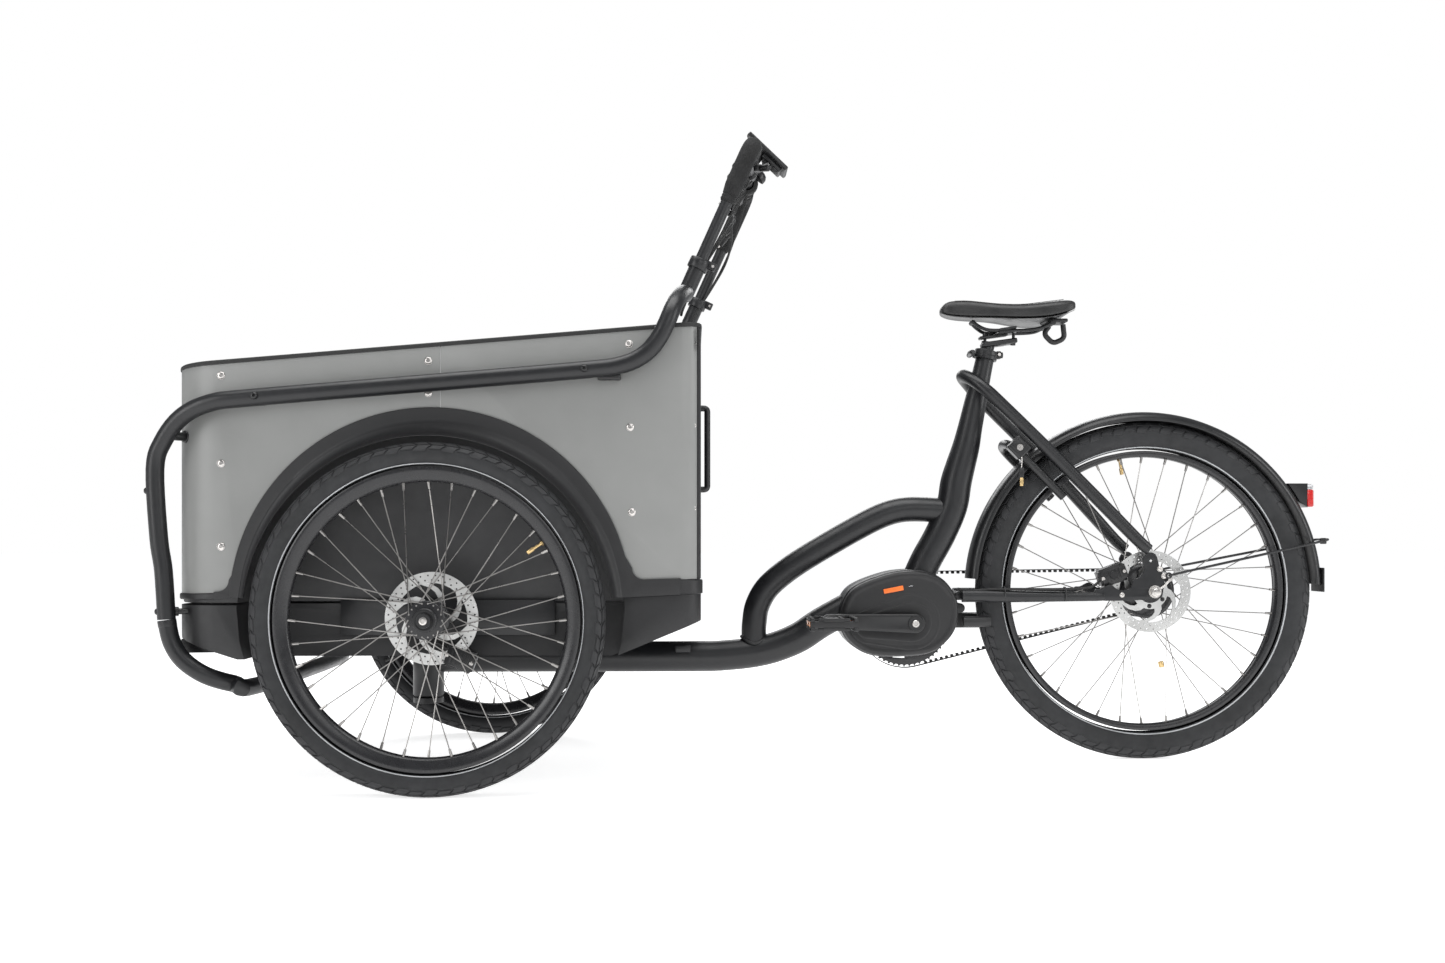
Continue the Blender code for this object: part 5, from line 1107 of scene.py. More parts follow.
def pedal(side, sign, tip):
    """An open cage on a spindle, with reflectors front and back."""
    x, z = tip.x, tip.z
    body = "pedal_" + side
    inner, outer = 0.0925, 0.190
    shape = Shape()
    middle_y = sign * (inner + outer) / 2
    length = outer - inner
    shape.rod((x, sign * 0.0925, z), (x, sign * 0.186, z), 0.0105, 28, rounding=0.001)
    shape.rod((x, sign * 0.112, z), (x, sign * 0.120, z), 0.0128, 28, rounding=0.002)
    for end in (-1, 1):
        for height in (-0.0090, 0.0090):
            shape.block((x + end * 0.0405, middle_y, z + height), (0.0080, length, 0.0070),
                        rounding=0.0015)
        for place in (0.006, 0.0487, 0.0915):
            shape.block((x + end * 0.0405, sign * (inner + place), z), (0.0080, 0.0085, 0.024),
                        rounding=0.0012)
    for place in (0.0050, 0.0925):
        shape.block((x, sign * (inner + place), z), (0.084, 0.0075, 0.0130), rounding=0.002)
        shape.block((x, sign * (inner + place), z + 0.0090), (0.060, 0.0060, 0.0050),
                    rounding=0.001)
        shape.block((x, sign * (inner + place), z - 0.0090), (0.060, 0.0060, 0.0050),
                    rounding=0.001)
    for height in (-0.0075, 0.0075):
        shape.block((x, middle_y, z + height), (0.040, length, 0.0045), rounding=0.0015)
        for row in (-0.0165, 0.0165):
            for place in range(9):
                shape.block((x + row, sign * (inner + 0.012 + place * 0.0092),
                             z + height * 1.45), (0.0060, 0.0045, 0.0024), rounding=0.0006,
                            segments=1)
    for end in (-1, 1):
        for place in range(11):
            for height in (-0.0118, 0.0118):
                shape.block((x + end * 0.0405, sign * (inner + 0.008 + place * 0.0082),
                             z + height), (0.0070, 0.0042, 0.0022), rounding=0.0005, segments=1)
    shape.made(body + "_cage", MOULDED, body, body)
    glow = Shape()
    for end in (-1, 1):
        for place in (0.0272, 0.0702):
            glow.block((x + end * 0.0425, sign * (inner + place), z), (0.0050, 0.0330, 0.0100),
                       rounding=0.0012)
    glow.made(body + "_reflectors", AMBER, body)
    pin = Shape()
    pin.rod((x, sign * 0.0745, z), (x, sign * 0.0930, z), 0.0062, 24, rounding=0.0008)
    pin.made(body + "_spindle", STEEL, body)


def toothed(centre, radius, teeth, deep):
    """A sprocket's outline with rounded teeth."""
    outline = []
    crest = 0.42
    for index in range(teeth):
        for share, down in ((0.0, 0.0), (crest * 0.5, 0.0), (crest * 0.72, 0.5), (crest, 1.0),
                            (1.0 - crest * 0.22, 1.0), (1.0 - crest * 0.02, 0.5)):
            reach = radius - deep * down
            angle = 2 * pi * (index + share) / teeth
            outline.append((centre.x + reach * cos(angle), centre.z + reach * sin(angle)))
    return outline


def belt_drive():
    low, high = 0.0500, 0.0600
    front = [toothed(CRANK, 0.0944, 55, 0.0030), circle(CRANK.x, CRANK.z, 0.0101, 32)]
    for arm in range(5):
        start = 2 * pi * arm / 5
        window = [(CRANK.x + reach * cos(start + radians(turn)),
                   CRANK.z + reach * sin(start + radians(turn)))
                  for reach, turn in ((0.078, 8), (0.080, 22), (0.080, 38), (0.078, 54),
                                      (0.052, 50), (0.036, 42), (0.036, 22), (0.052, 13))]
        front.append(window)
    Shape().plate(front, low, high, 0.0005).made("front_sprocket_toothed", RIM, "crankset",
                                                  "front_sprocket")
    rear = [toothed(AXLE, 0.0404, 24, 0.0030), circle(AXLE.x, AXLE.z, 0.0172, 32)]
    for hole in range(6):
        angle = 2 * pi * hole / 6
        rear.append(circle(AXLE.x + 0.027 * cos(angle), AXLE.z + 0.027 * sin(angle), 0.0045, 16))
    Shape().plate(rear, low, high, 0.0005).made("rear_sprocket_toothed", RIM, "belt_pulley",
                                                "rear_sprocket")
    inner_front, inner_rear = 0.0951, 0.0411
    line = wrapped((CRANK.x, CRANK.z), inner_front, (AXLE.x, AXLE.z), inner_rear, 60)
    loop = line + line[:1]
    lengths = [hypot(b[0] - a[0], b[1] - a[1]) for a, b in zip(loop, loop[1:])]
    total = sum(lengths)
    count = int(total / 0.011 + 0.5)
    shape = Shape()
    middle_y = (low + high) / 2
    outer = wrapped((CRANK.x, CRANK.z), inner_front + 0.0026, (AXLE.x, AXLE.z),
                    inner_rear + 0.0026, 60)
    back = wrapped((CRANK.x, CRANK.z), inner_front + 0.0008, (AXLE.x, AXLE.z),
                   inner_rear + 0.0008, 60)
    shape.plate([outer, back], low, high, 0.0004)
    for index in range(count):
        target, walked = total * index / count, 0.0
        for (a, b), length in zip(zip(loop, loop[1:]), lengths):
            if walked + length >= target:
                t = (target - walked) / length
                place = (a[0] + (b[0] - a[0]) * t, a[1] + (b[1] - a[1]) * t)
                slope = atan2(b[1] - a[1], b[0] - a[0])
                break
            walked += length
        spot = Vector((place[0], middle_y, place[1]))
        near_front = (spot - Vector((CRANK.x, middle_y, CRANK.z))).length < inner_front + 0.0012
        near_rear = (spot - Vector((AXLE.x, middle_y, AXLE.z))).length < inner_rear + 0.0012
        if near_front or near_rear:
            continue
        turn = Matrix.Rotation(-slope, 4, "Y")
        normal = Vector((-sin(slope), 0, cos(slope)))
        centre = Vector(((CRANK.x + AXLE.x) / 2, middle_y, (CRANK.z + AXLE.z) / 2))
        inward = normal if normal.dot(centre - spot) > 0 else -normal
        shape.block(spot + inward * 0.0010, (0.0056, high - low - 0.001, 0.0056), turn, 0.0012, 2)
    shape.made("drive_belt_toothed", RUBBER, "rear_frame", "drive_belt", sharp=50)


motor()
cranks()
belt_drive()


# Seat.



def seat_clamp():
    low = -0.0190
    collar = Shape()
    collar.turned([
        (0.0139, -0.0010), (0.0139, -0.0130), (0.0186, -0.0137), (0.0186, low), (0.0222, low),
        (0.0231, low + 0.001), (0.0232, -0.0118), (0.0226, -0.0110), (0.0232, -0.0102),
        (0.0232, -0.0030), (0.0224, -0.0012)], SEAT_TOP, SEAT_AXIS, 64)
    middle_point = SEAT_TOP + SEAT_AXIS * (low - 0.001) / 2
    rear = middle_point + Vector((0.0200, 0, 0))
    collar.rod(rear, rear + Vector((0.0140, 0, 0)), 0.0060, 28, rounding=0.001)
    collar.rod(middle_point + Vector((-0.0255, 0, 0)), middle_point + Vector((-0.0200, 0, 0)),
               0.0055, 24)
    collar.block(rear + Vector((0.0050, 0, 0)), (0.0100, 0.0140, 0.0150), rounding=0.002)
    collar.made("seat_clamp_collar", PAINT, "rear_frame", "seat_collar")
    bolt = Shape()
    bolt.rod(rear + Vector((0.005, -0.0130, 0)), rear + Vector((0.005, 0.0150, 0)), 0.0031, 20)
    bolt.turned([(0.0, 0.0100), (0.0052, 0.0098), (0.0066, 0.0080), (0.0070, 0.0040),
                 (0.0056, 0.0), (0.0, 0.0)], rear + Vector((0.005, 0.0080, 0)), (0, 1, 0), 24)
    bolt.made("seat_clamp_bolt", STEEL, "rear_frame")
    front = middle_point + Vector((-0.0285, 0, 0))
    blade = Shape()
    run = [(front.x - 0.0045, 0.0010, front.z, 0.82), (front.x - 0.0050, -0.0080, front.z, 1.0),
           (front.x - 0.0072, -0.0200, front.z + 0.0006, 1.0),
           (front.x - 0.0078, -0.0330, front.z + 0.0008, 1.12),
           (front.x - 0.0060, -0.0430, front.z + 0.0004, 1.05),
           (front.x - 0.0046, -0.0456, front.z, 0.72)]
    blade.tube(flowing(run, 6), 0.0048, 24)
    blade.rod((front.x - 0.0040, 0.0018, front.z), (front.x - 0.0040, -0.0100, front.z), 0.0054,
              28, rounding=0.0008)
    blade.made("seat_release_blade", SMOOTH_PLASTIC, "seat_quick_release", "seat_lever")


def seatpost():
    post = Shape()
    post.rod(SEAT_TOP - SEAT_AXIS * 0.17, SEAT_TOP + SEAT_AXIS * 0.016, 0.0136, 48,
             rounding=0.0006)
    turn = Matrix.Rotation(radians(-8), 4, "Y")
    centre = Vector((0.4515, 0, 0.8260))
    post.block(centre, (0.0690, 0.0340, 0.0100), turn, 0.0030, 4)
    post.block(centre + Vector((-0.0080, 0, -0.0020)), (0.0460, 0.0280, 0.0100), turn, 0.0040, 4)
    post.made("seatpost_forged", PAINT, "seat", "seatpost")
    marks = Shape()
    for row in range(9):
        ring = SEAT_TOP - SEAT_AXIS * (0.030 + 0.010 * row)
        marks.turned([(0.01362, -0.0002), (0.01372, -0.0002), (0.01372, 0.0002),
                      (0.01362, 0.0002)], ring, SEAT_AXIS, 48)
    marks.made("seatpost_height_marks", STEEL, "seat")
    clamp = Shape()
    clamp.block((0.4650, 0, 0.8460), (0.0380, 0.0560, 0.0050), turn, 0.0015)
    clamp.block((0.4650, 0, 0.8525), (0.0340, 0.0560, 0.0045), turn, 0.0015)
    for x, z in ((0.4230, 0.8370), (0.4800, 0.8450)):
        clamp.rod((x, 0, z - 0.0220), (x + 0.002, 0, z + 0.0120), 0.0030, 20)
        clamp.rod((x - 0.0003, 0, z - 0.0230), (x, 0, z - 0.0180), 0.0052, 6)
        clamp.rod((x + 0.0015, 0, z + 0.0020), (x + 0.002, 0, z + 0.0080), 0.0055, 24)
    clamp.block((0.4400, 0, 0.8395), (0.0560, 0.0200, 0.0060), turn, 0.002)
    clamp.made("saddle_clamp_bolts", PAINT, "seat")


def saddle_parts():
    rails = Shape()
    for sign in (-1, 1):
        run = [(x, sign * y, z) for x, y, z in (
            (0.396, 0.008, 0.869), (0.412, 0.014, 0.856), (0.430, 0.021, 0.849),
            (0.465, 0.0225, 0.849), (0.500, 0.022, 0.849), (0.530, 0.030, 0.853),
            (0.552, 0.040, 0.8635))]
        rails.tube(flowing(run, 6), 0.0035, 20)
    rails.made("saddle_rails", PAINT, "seat", "saddle_frame")
    under = Shape()
    under.rod((0.550, -0.043, 0.8625), (0.550, 0.043, 0.8625), 0.0058, 24, rounding=0.001)
    under.rod((0.3985, -0.012, 0.8665), (0.3985, 0.012, 0.8665), 0.0044, 20, rounding=0.001)
    run = filleted([(0.552, 0, 0.860), (0.541, 0, 0.845), (0.560, 0, 0.826),
                    (0.583, 0, 0.836), (0.580, 0, 0.864)], 0.012, 8)
    under.tube(run, 0.0052, 24)
    under.block((0.5620, 0, 0.8690), (0.0440, 0.0500, 0.0070), rounding=0.0025)
    under.made("saddle_underside", MOULDED, "seat")
    # Along it: the half width, the crown, the underside and how far the skirts hang.
    stations = [
        (0.3335, 0.0120, 0.8925, 0.8850, 0.000), (0.3420, 0.0200, 0.9055, 0.8800, 0.001),
        (0.3600, 0.0245, 0.9090, 0.8770, 0.002), (0.3850, 0.0265, 0.9092, 0.8760, 0.003),
        (0.4150, 0.0295, 0.9060, 0.8755, 0.003), (0.4430, 0.0365, 0.9022, 0.8752, 0.004),
        (0.4700, 0.0480, 0.8995, 0.8745, 0.006), (0.4930, 0.0600, 0.8985, 0.8745, 0.008),
        (0.5180, 0.0715, 0.9000, 0.8755, 0.010), (0.5430, 0.0790, 0.9025, 0.8775, 0.010),
        (0.5650, 0.0805, 0.9050, 0.8800, 0.007), (0.5830, 0.0740, 0.9050, 0.8840, 0.004),
        (0.5925, 0.0600, 0.9015, 0.8880, 0.001)]
    cover, shell = Shape(), Shape()
    for shape, base in ((cover, False), (shell, True)):
        rings = []
        for x, half, top, bottom, hang in stations:
            thick = top - bottom
            skirt = bottom - hang
            hollow = 0.0022 * min(1.0, half / 0.05)
            if base:
                section = [(0.95, skirt + thick * 0.08), (0.962, skirt + thick * 0.02),
                           (0.90, skirt - 0.0010), (0.45, bottom - 0.0004)]
            else:
                section = [(0.22, top - hollow * 0.25), (0.48, top), (0.74, top - thick * 0.07),
                           (0.92, top - thick * 0.26), (1.0, top - thick * 0.52),
                           (0.992, skirt + thick * 0.22), (0.960, skirt + thick * 0.07),
                           (0.45, bottom + thick * 0.05)]
            near = [(x, -half * share, z) for share, z in section]
            far = [(x, half * share, z) for share, z in reversed(section)]
            crown = [] if base else [(x, 0.0, top - hollow)]
            rings.append(crown + near + far)
        shape.skin(rings)
    pad = cover.made("saddle_cover", COVER, "seat", "saddle", sharp=80)
    tub = shell.made("saddle_shell", SMOOTH_PLASTIC, "seat", sharp=80)
    for piece in (pad, tub):
        smooth = piece.modifiers.new("smooth", "SUBSURF")
        smooth.levels = smooth.render_levels = 2
    seams = Shape()
    for sign in (-1, 1):
        line = [(x, sign * half * 0.765, top - (top - bottom) * 0.070)
                for x, half, top, bottom, _ in stations[2:-2]]
        seams.tube(flowing(line, 5), 0.0006, 8)
    seams.made("saddle_seams", RUBBER, "seat")


# Rear stays and fittings.

DROPOUT = [
    (-0.116, 0.004), (-0.112, -0.016), (-0.032, -0.016), (-0.010, -0.014), (0.012, -0.012),
    (0.017, 0.004), (0.019, 0.026), (0.010, 0.046), (0.002, 0.072), (-0.014, 0.076),
    (-0.024, 0.062), (-0.020, 0.046), (-0.028, 0.030), (-0.042, 0.022), (-0.048, 0.006),
    (-0.071, 0.004), (-0.086, 0.014), (-0.104, 0.006)]
SEAT_STAY = [
    (0.728, 0.0735, 0.4165, 0.86), (0.705, 0.0730, 0.4365, 0.95), (0.640, 0.0640, 0.505),
    (0.540, 0.0540, 0.6080), (0.440, 0.0500, 0.7060), (0.4140, 0.0440, 0.7310),
    (0.3960, 0.0310, 0.7480), (0.3835, 0.0150, 0.7580)]


def stays():
    body = "rear_frame"
    for side, sign in SIDES:
        low, high = sorted((sign * 0.0702, sign * 0.0768))
        stay = Shape()
        run = [(0.3690, 0.0480, 0.326, 1.0), (0.420, 0.0500, 0.326, 1.0),
               (0.480, 0.0560, 0.325, 0.92), (0.560, 0.0665, 0.325, 0.78),
               (0.626, 0.0725, 0.325, 0.68), (0.640, 0.0730, 0.325, 0.60)]
        stay.tube(flowing([(x, sign * y, z, share) for x, y, z, share in run], 6), 0.0125, 32)
        outline = [(AXLE.x + x, AXLE.z + z) for x, z in flowing(DROPOUT, 4, closed=True)]
        stay.plate([outline, circle(AXLE.x, AXLE.z, 0.0068, 28),
                    circle(AXLE.x - 0.007, AXLE.z + 0.060, 0.0032, 16)], low, high, 0.0009)
        stay.made(f"chain_stay_{side}_formed", PAINT, body, "chain_stay_" + side, sharp=40)
        bolts = Shape()
        for x, z in ((0.749, 0.379), (0.757, 0.3655)):
            bolts.screw((x, sign * 0.0770, z), (0, sign, 0), 0.0052, 0.6)
        bolts.screw((AXLE.x - 0.064, sign * 0.0770, AXLE.z - 0.006), (0, sign, 0), 0.0045, 0.5)
        bolts.tube([(0.7300, sign * 0.0785, 0.3310), (0.7440, sign * 0.0790, 0.3365),
                    (0.7580, sign * 0.0785, 0.3470), (0.7680, sign * 0.0780, 0.3580)],
                   0.0022, 14)
        bolts.rod((0.7680, sign * 0.0745, 0.3590), (0.7680, sign * 0.0815, 0.3590), 0.0048, 6)
        bolts.made(f"dropout_bolts_{side}", STEEL, body)
    near = flowing([(p[0], -p[1], p[2], p[3] if len(p) > 3 else 1.0) for p in SEAT_STAY]
                   + [(0.3800, 0, 0.7610, 1.0)]
                   + [(p[0], p[1], p[2], p[3] if len(p) > 3 else 1.0)
                      for p in reversed(SEAT_STAY)], 5)
    loop = Shape().tube(near, 0.0125, 32)
    loop.made("seat_stays_bent", PAINT, body, "seat_stays", sharp=45)
    axle = Shape()
    axle.rod((AXLE.x, -0.0940, AXLE.z), (AXLE.x, 0.0940, AXLE.z), 0.0063, 32, rounding=0.001)
    for sign in (-1, 1):
        axle.rod((AXLE.x, sign * 0.0771, AXLE.z), (AXLE.x, sign * 0.0783, AXLE.z), 0.0125, 36)
        axle.rod((AXLE.x, sign * 0.0783, AXLE.z), (AXLE.x, sign * 0.0850, AXLE.z), 0.0104, 6,
                 rounding=0.0006)
        for ridge in range(6):
            y = sign * (0.0860 + ridge * 0.0012)
            axle.turned([(0.0062, -0.0004), (0.0066, 0.0), (0.0062, 0.0004)],
                        (AXLE.x, y, AXLE.z), (0, 1, 0), 28)
    axle.made("rear_axle_bolt", STEEL, body, "rear_axle")
    plug = Shape()
    plug.rod((0.3700, -0.0500, 0.275), (0.4240, -0.0500, 0.2765), 0.0105, 28, rounding=0.002)
    plug.made("motor_cable_plug", MOULDED, body)


def caliper_parts(name, node, body, centre, tilt, width, side_y, sign):
    """A finned brake body with its pads' pin, a banjo and two bolts."""
    refined(node, name + "_body", SMOOTH_PLASTIC, body, 0.0008, 25)
    turn = Matrix.Rotation(tilt, 4, "Y")
    place = Matrix.Translation(Vector(centre)) @ turn
    detail = Shape()
    for row in range(5):
        spot = place @ Vector((-0.0140 + row * 0.0070, sign * 0.0004, 0.0))
        detail.block((spot.x, side_y, spot.z), (0.0032, 0.0016, width * 0.62), turn, 0.0007)
    detail.turned([(0.0, 0.0016), (0.0072, 0.0016), (0.0080, 0.0008), (0.0082, 0.0),
                   (0.0, 0.0)], tuple(place @ Vector((0.0, side_y - centre[1], 0.0))),
                  (0, sign, 0), 32)
    detail.made(name + "_fins", SMOOTH_PLASTIC, body)
    bolts = Shape()
    for x in (-0.0215, 0.0215):
        spot = place @ Vector((x, side_y - centre[1] - sign * 0.0005, 0.0))
        bolts.screw(spot, (0, sign, 0), 0.0036, 0.7)
    bolts.made(name + "_bolts", STEEL, body)


def rear_fittings():
    body = "rear_frame"
    section = [(-0.0310, 0.3380), (-0.0300, 0.3420), (-0.0275, 0.3464), (-0.0230, 0.3502),
               (-0.0165, 0.3530), (-0.0085, 0.3546), (0.0, 0.3550)]
    section += [(-y, reach) for y, reach in reversed(section[:-1])]
    steps, thickness, taper = 96, 0.0018, 0.9748
    rings = []
    for step in range(steps + 1):
        angle = radians(176) + radians(2 - 176) * step / steps
        ray = Vector((cos(angle), 0, sin(angle)))
        outside = [AXLE + ray * reach + Vector((0, y, 0)) for y, reach in section]
        inside = [AXLE + ray * (reach - thickness) + Vector((0, y * taper, 0))
                  for y, reach in reversed(section)]
        rings.append(outside + inside)
    Shape().skin(rings).made("rear_mudguard_formed", SMOOTH_PLASTIC, body, "rear_mudguard",
                             sharp=60)
    flap = Shape()
    flap.block((1.0925, 0, 0.3560), (0.0030, 0.0560, 0.0480), rounding=0.0012)
    flap.made("mud_flap", RUBBER, body)
    near = [(0.765, 0.0805, 0.366), (0.815, 0.0760, 0.377), (1.060, 0.0385, 0.4270),
            (1.1020, 0.0310, 0.4360)]
    run = [(x, -y, z) for x, y, z in near] + [(x, y, z) for x, y, z in reversed(near)]
    stay = Shape().tube(filleted(run, 0.012, 8), 0.0025, 18)
    for sign in (-1, 1):
        stay.turned([(0.0034, 0.0018), (0.0062, 0.0014), (0.0066, 0.0), (0.0062, -0.0014),
                     (0.0034, -0.0018)], (0.765, sign * 0.0805, 0.366), (0, 1, 0), 24)
    stay.made("mudguard_wire", PAINT, body, "mudguard_stay")
    clips = Shape()
    for sign in (-1, 1):
        clips.block((1.0890, sign * 0.0318, 0.4330), (0.0120, 0.0070, 0.0120), rounding=0.002)
        clips.screw((1.0890, sign * 0.0355, 0.4330), (0, sign, 0), 0.0030, 0.5)
    clips.made("mudguard_clips", SMOOTH_PLASTIC, body)
    lamp()
    horseshoe()
    caliper_parts("rear_brake", "rear_caliper", body, (0.662, -0.0505, 0.367), radians(-20),
                  0.036, -0.0668, -1)
    hose = [(0.6370, -0.0600, 0.3560), (0.6180, -0.0690, 0.3440), (0.5900, -0.0745, 0.3410),
            (0.5400, -0.0715, 0.3395), (0.4700, -0.0620, 0.3395), (0.4200, -0.0560, 0.3390),
            (0.3850, -0.0510, 0.3360), (0.3600, -0.0480, 0.3400)]
    Shape().tube(flowing(hose, 6), 0.0025, 16).made("rear_brake_hose", RUBBER, body)
    ties = Shape()
    for place in ((0.5650, -0.0685, 0.3300), (0.4500, -0.0525, 0.3310)):
        ties.turned([(0.0136, 0.0012), (0.0146, 0.0012), (0.0146, -0.0012), (0.0136, -0.0012)],
                    place, (1, 0, 0), 28)
    ties.made("hose_ties", MOULDED, body)


def lamp():
    """The rear lamp: a dark base on the mudguard, a clear top and a red lens."""
    body = "rear_frame"
    base = Shape()
    room = 0.3572

    def against(z):
        return AXLE.x + (room ** 2 - (z - AXLE.z) ** 2) ** 0.5

    low, high = 0.5000, 0.5475
    outline = [(against(low + (high - low) * step / 12) + 0.0002, low + (high - low) * step / 12)
               for step in range(13)]
    outline = [point for point in outline if point[1] > low + 0.008]
    outline += [(1.0660, high), (1.0660, low)]
    base.plate([outline], -0.0150, 0.0150, 0.0008)
    base.made("tail_lamp_base", SMOOTH_PLASTIC, body, "tail_light", sharp=40)
    red = Shape()
    red.block((1.0710, 0, 0.5180), (0.0130, 0.0350, 0.0345), rounding=0.0035, segments=5)
    red.made("tail_lamp_lens", RED, body, sharp=60)
    clear = Shape()
    clear.block((1.0705, 0, 0.5405), (0.0120, 0.0340, 0.0110), rounding=0.0028, segments=5)
    clear.made("tail_lamp_reflector", CLEAR, body, sharp=60)


def horseshoe():
    """The ring lock below the seat stays, and the key that hangs from it."""
    body = "rear_frame"
    near = [(0.5690, 0.0475, 0.5190), (0.5300, 0.0475, 0.5580), (0.4890, 0.0475, 0.5985),
            (0.4700, 0.0400, 0.6175), (0.4640, 0.0200, 0.6235)]
    run = [(x, -y, z) for x, y, z in near] + [(0.4625, 0.0, 0.6250)]
    run += [(x, y, z) for x, y, z in reversed(near)]
    lock = Shape().tube(flowing(run, 6), 0.0088, 32)
    turn = Matrix.Rotation(radians(45), 4, "Y")
    lock.block((0.4790, -0.0510, 0.6150), (0.0360, 0.0255, 0.0335), turn, 0.0045, 4)
    lock.block((0.4750, -0.0510, 0.6190), (0.0240, 0.0262, 0.0220), turn, 0.0030, 3)
    lock.rod((0.4790, -0.0640, 0.6150), (0.4790, -0.0600, 0.6150), 0.0090, 32)
    lock.made("ring_lock", SMOOTH_PLASTIC, body, "frame_lock", sharp=40)
    barrel = Shape()
    barrel.turned([(0.0, 0.0012), (0.0026, 0.0012), (0.0030, 0.0022), (0.0062, 0.0022),
                   (0.0068, 0.0012), (0.0068, -0.001), (0.0, -0.001)],
                  (0.4790, -0.0642, 0.6150), (0, -1, 0), 32)
    barrel.made("lock_barrel", STEEL, body)
    hook = Shape()
    hook.tube(filleted([(0.4830, -0.0560, 0.6000), (0.4815, -0.0700, 0.5950),
                        (0.4805, -0.0712, 0.5780), (0.4805, -0.0690, 0.5730)], 0.004, 5),
              0.0012, 12)
    hook.made("key_hook", STEEL, body)
    key = Shape()
    key.block((0.4805, -0.0705, 0.5655), (0.0100, 0.0030, 0.0200), rounding=0.0012)
    key.made("key_grip", SMOOTH_PLASTIC, "hanging_key", "lock_key")
    blade = Shape()
    blade.block((0.4805, -0.0705, 0.5480), (0.0062, 0.0020, 0.0165), rounding=0.0004)
    for row in range(4):
        blade.block((0.4838, -0.0705, 0.5435 + row * 0.0030), (0.0016, 0.0020, 0.0014),
                    rounding=0.0002, segments=1)
    blade.made("key_blade", BRASS, "hanging_key")


def front_axles():
    body = "front_module"
    refined("axle_beam", "axle_beam_welded", PAINT, body, 0.0006, 40)
    bolts = Shape()
    for sign in (-1, 1):
        y = sign * 0.4405
        bolts.turned([(0.0, 0.0010), (0.0034, 0.0010), (0.0038, 0.0022), (0.0066, 0.0018),
                      (0.0074, 0.0), (0.0, -0.0004)], (-0.605, y, 0.3005),
                     (0, sign, 0), 32)
    bolts.made("front_axle_bolts", STEEL, body)
    for side, sign in SIDES:
        caliper_parts(f"front_brake_{side}", "front_caliper_" + side, body,
                      (-0.5575, sign * 0.353, 0.231), radians(20), 0.036, sign * 0.3668, sign)
        hose = [(-0.5770, sign * 0.3480, 0.2450), (-0.6000, sign * 0.3300, 0.2570),
                (-0.6250, sign * 0.3100, 0.2500), (-0.6700, sign * 0.2860, 0.2330),
                (-0.7050, sign * 0.2600, 0.2200)]
        Shape().tube(flowing(hose, 6), 0.0025, 14).made(
            f"front_brake_hose_{side}", RUBBER, body)
    lamp_body = Shape()
    outline = [(-1.0420, 0.2640), (-1.0420, 0.2450), (-1.0340, 0.2397), (-0.975, 0.2405),
               (-0.975, 0.2424)]
    lamp_body.plate([outline], -0.3300, -0.2700, 0.0010)
    lamp_body.made("headlight_housing", SMOOTH_PLASTIC, body, "headlight", sharp=40)
    lens = Shape()
    lens.block((-1.0428, -0.3000, 0.2545), (0.0020, 0.0520, 0.0150), rounding=0.0009)
    lens.made("headlight_lens", CLEAR, body)


seat_clamp()
seatpost()
saddle_parts()
stays()
rear_fittings()
front_axles()


# Setting.

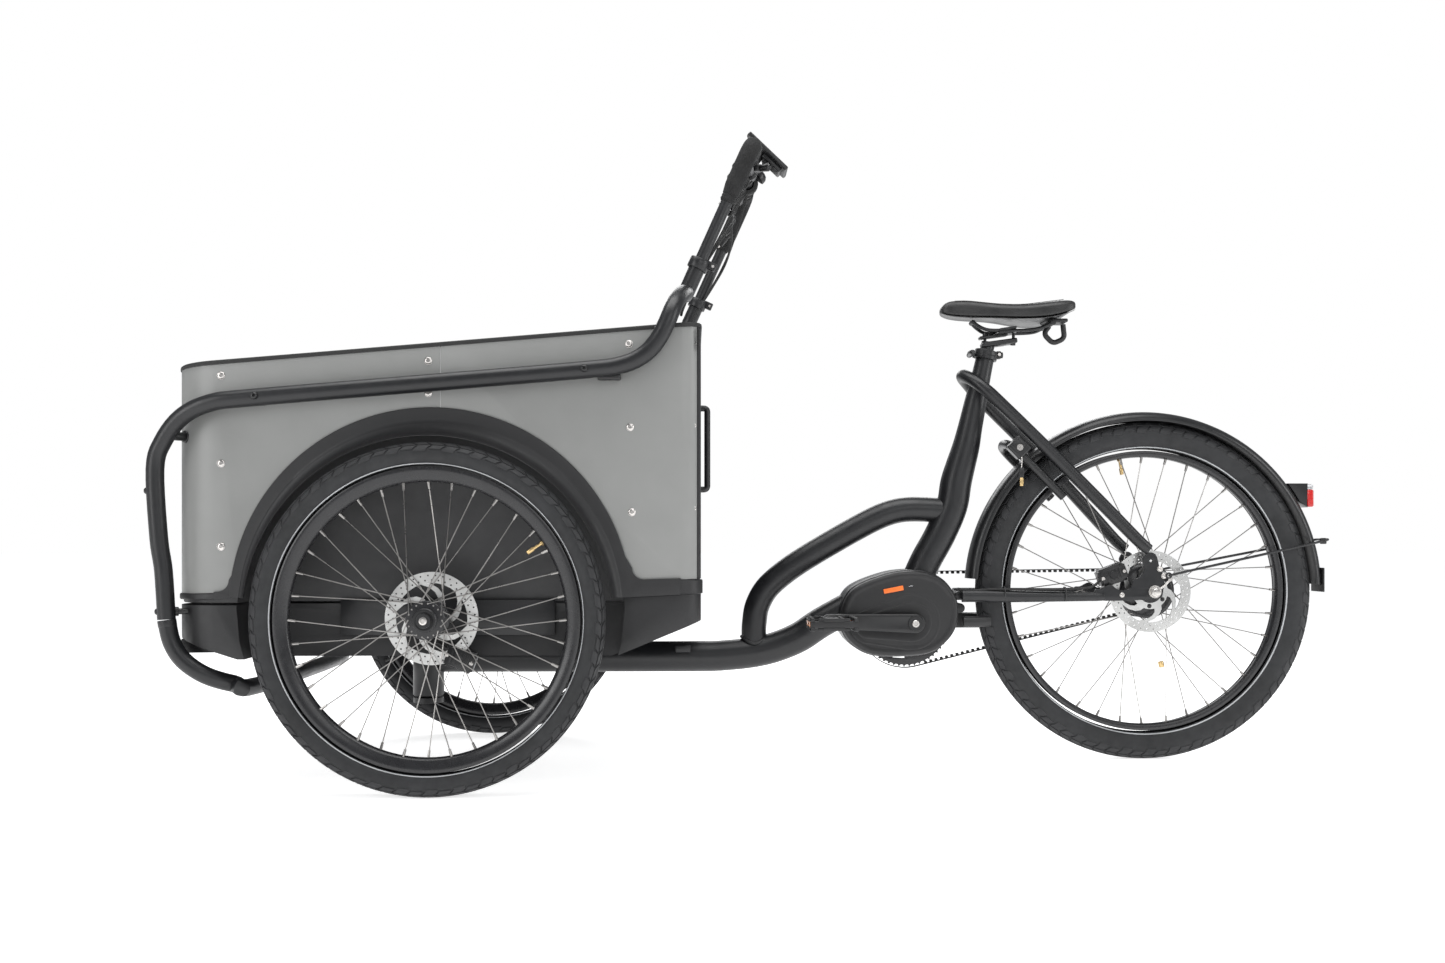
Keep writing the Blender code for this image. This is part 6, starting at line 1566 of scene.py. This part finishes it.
def setting():
    """A pale floor, soft lamps and the camera."""
    world = bpy.data.worlds.new("studio")
    bpy.context.scene.world = world
    world.use_nodes = True
    nodes, link = world.node_tree.nodes, world.node_tree.links.new
    shown, lit = nodes["Background"], nodes.new("ShaderNodeBackground")
    shown.inputs["Color"].default_value = (1, 1, 1, 1)
    shown.inputs["Strength"].default_value = 1.0
    lit.inputs["Color"].default_value = (0.95, 0.97, 1.0, 1)
    lit.inputs["Strength"].default_value = 0.34
    mix, path = nodes.new("ShaderNodeMixShader"), nodes.new("ShaderNodeLightPath")
    link(path.outputs["Is Camera Ray"], mix.inputs["Fac"])
    link(lit.outputs["Background"], mix.inputs[1])
    link(shown.outputs["Background"], mix.inputs[2])
    link(mix.outputs["Shader"], nodes["World Output"].inputs["Surface"])
    floor_finish = bpy.data.materials.new("studio_floor")
    floor_finish.use_nodes = True
    shader = floor_finish.node_tree.nodes["Principled BSDF"]
    shader.inputs["Base Color"].default_value = (0.93, 0.93, 0.93, 1)
    shader.inputs["Roughness"].default_value = 0.65
    shader.inputs["Emission Color"].default_value = (1, 1, 1, 1)
    shader.inputs["Emission Strength"].default_value = 0.70
    mesh = bpy.data.meshes.new("studio_floor")
    bm = bmesh.new()
    bmesh.ops.create_grid(bm, x_segments=1, y_segments=1, size=40)
    bm.to_mesh(mesh)
    bm.free()
    mesh.materials.append(floor_finish)
    floor = bpy.data.objects.new("studio_floor", mesh)
    bpy.context.scene.collection.objects.link(floor)
    for name, place, target, size, power in (
            ("overhead", (-0.2, -0.6, 3.4), (0, 0, 0.4), (3.6, 2.2), 95),
            ("front_left", (-3.0, -2.4, 1.5), (-0.8, 0, 0.5), (1.2, 2.2), 40),
            ("camera_side", (1.2, -3.6, 2.0), (0.2, 0, 0.4), (2.4, 1.4), 22),
            ("rear_right", (3.2, -1.2, 1.4), (0.6, 0, 0.4), (1.0, 2.0), 30),
            ("far_side", (0.0, 3.2, 2.4), (0, 0, 0.5), (3.0, 1.4), 45)):
        data = bpy.data.lights.new(name, "AREA")
        data.shape = "RECTANGLE"
        data.size, data.size_y = size
        data.energy = power
        lamp = bpy.data.objects.new(name, data)
        lamp.location = place
        lamp.rotation_euler = (Vector(target) - Vector(place)).to_track_quat("-Z", "Y").to_euler()
        bpy.context.scene.collection.objects.link(lamp)
    data = bpy.data.cameras.new("camera")
    data.lens, data.sensor_width = 35.0, 36.0
    data.shift_y = 0.0399
    data.clip_end = 200
    camera = bpy.data.objects.new("camera", data)
    camera.location = (-0.161, -2.781, 0.4366)
    camera.rotation_euler = (radians(90), 0, radians(-1.3))
    bpy.context.scene.collection.objects.link(camera)
    bpy.context.scene.camera = camera
    bpy.context.scene.view_settings.view_transform = "Standard"


setting()
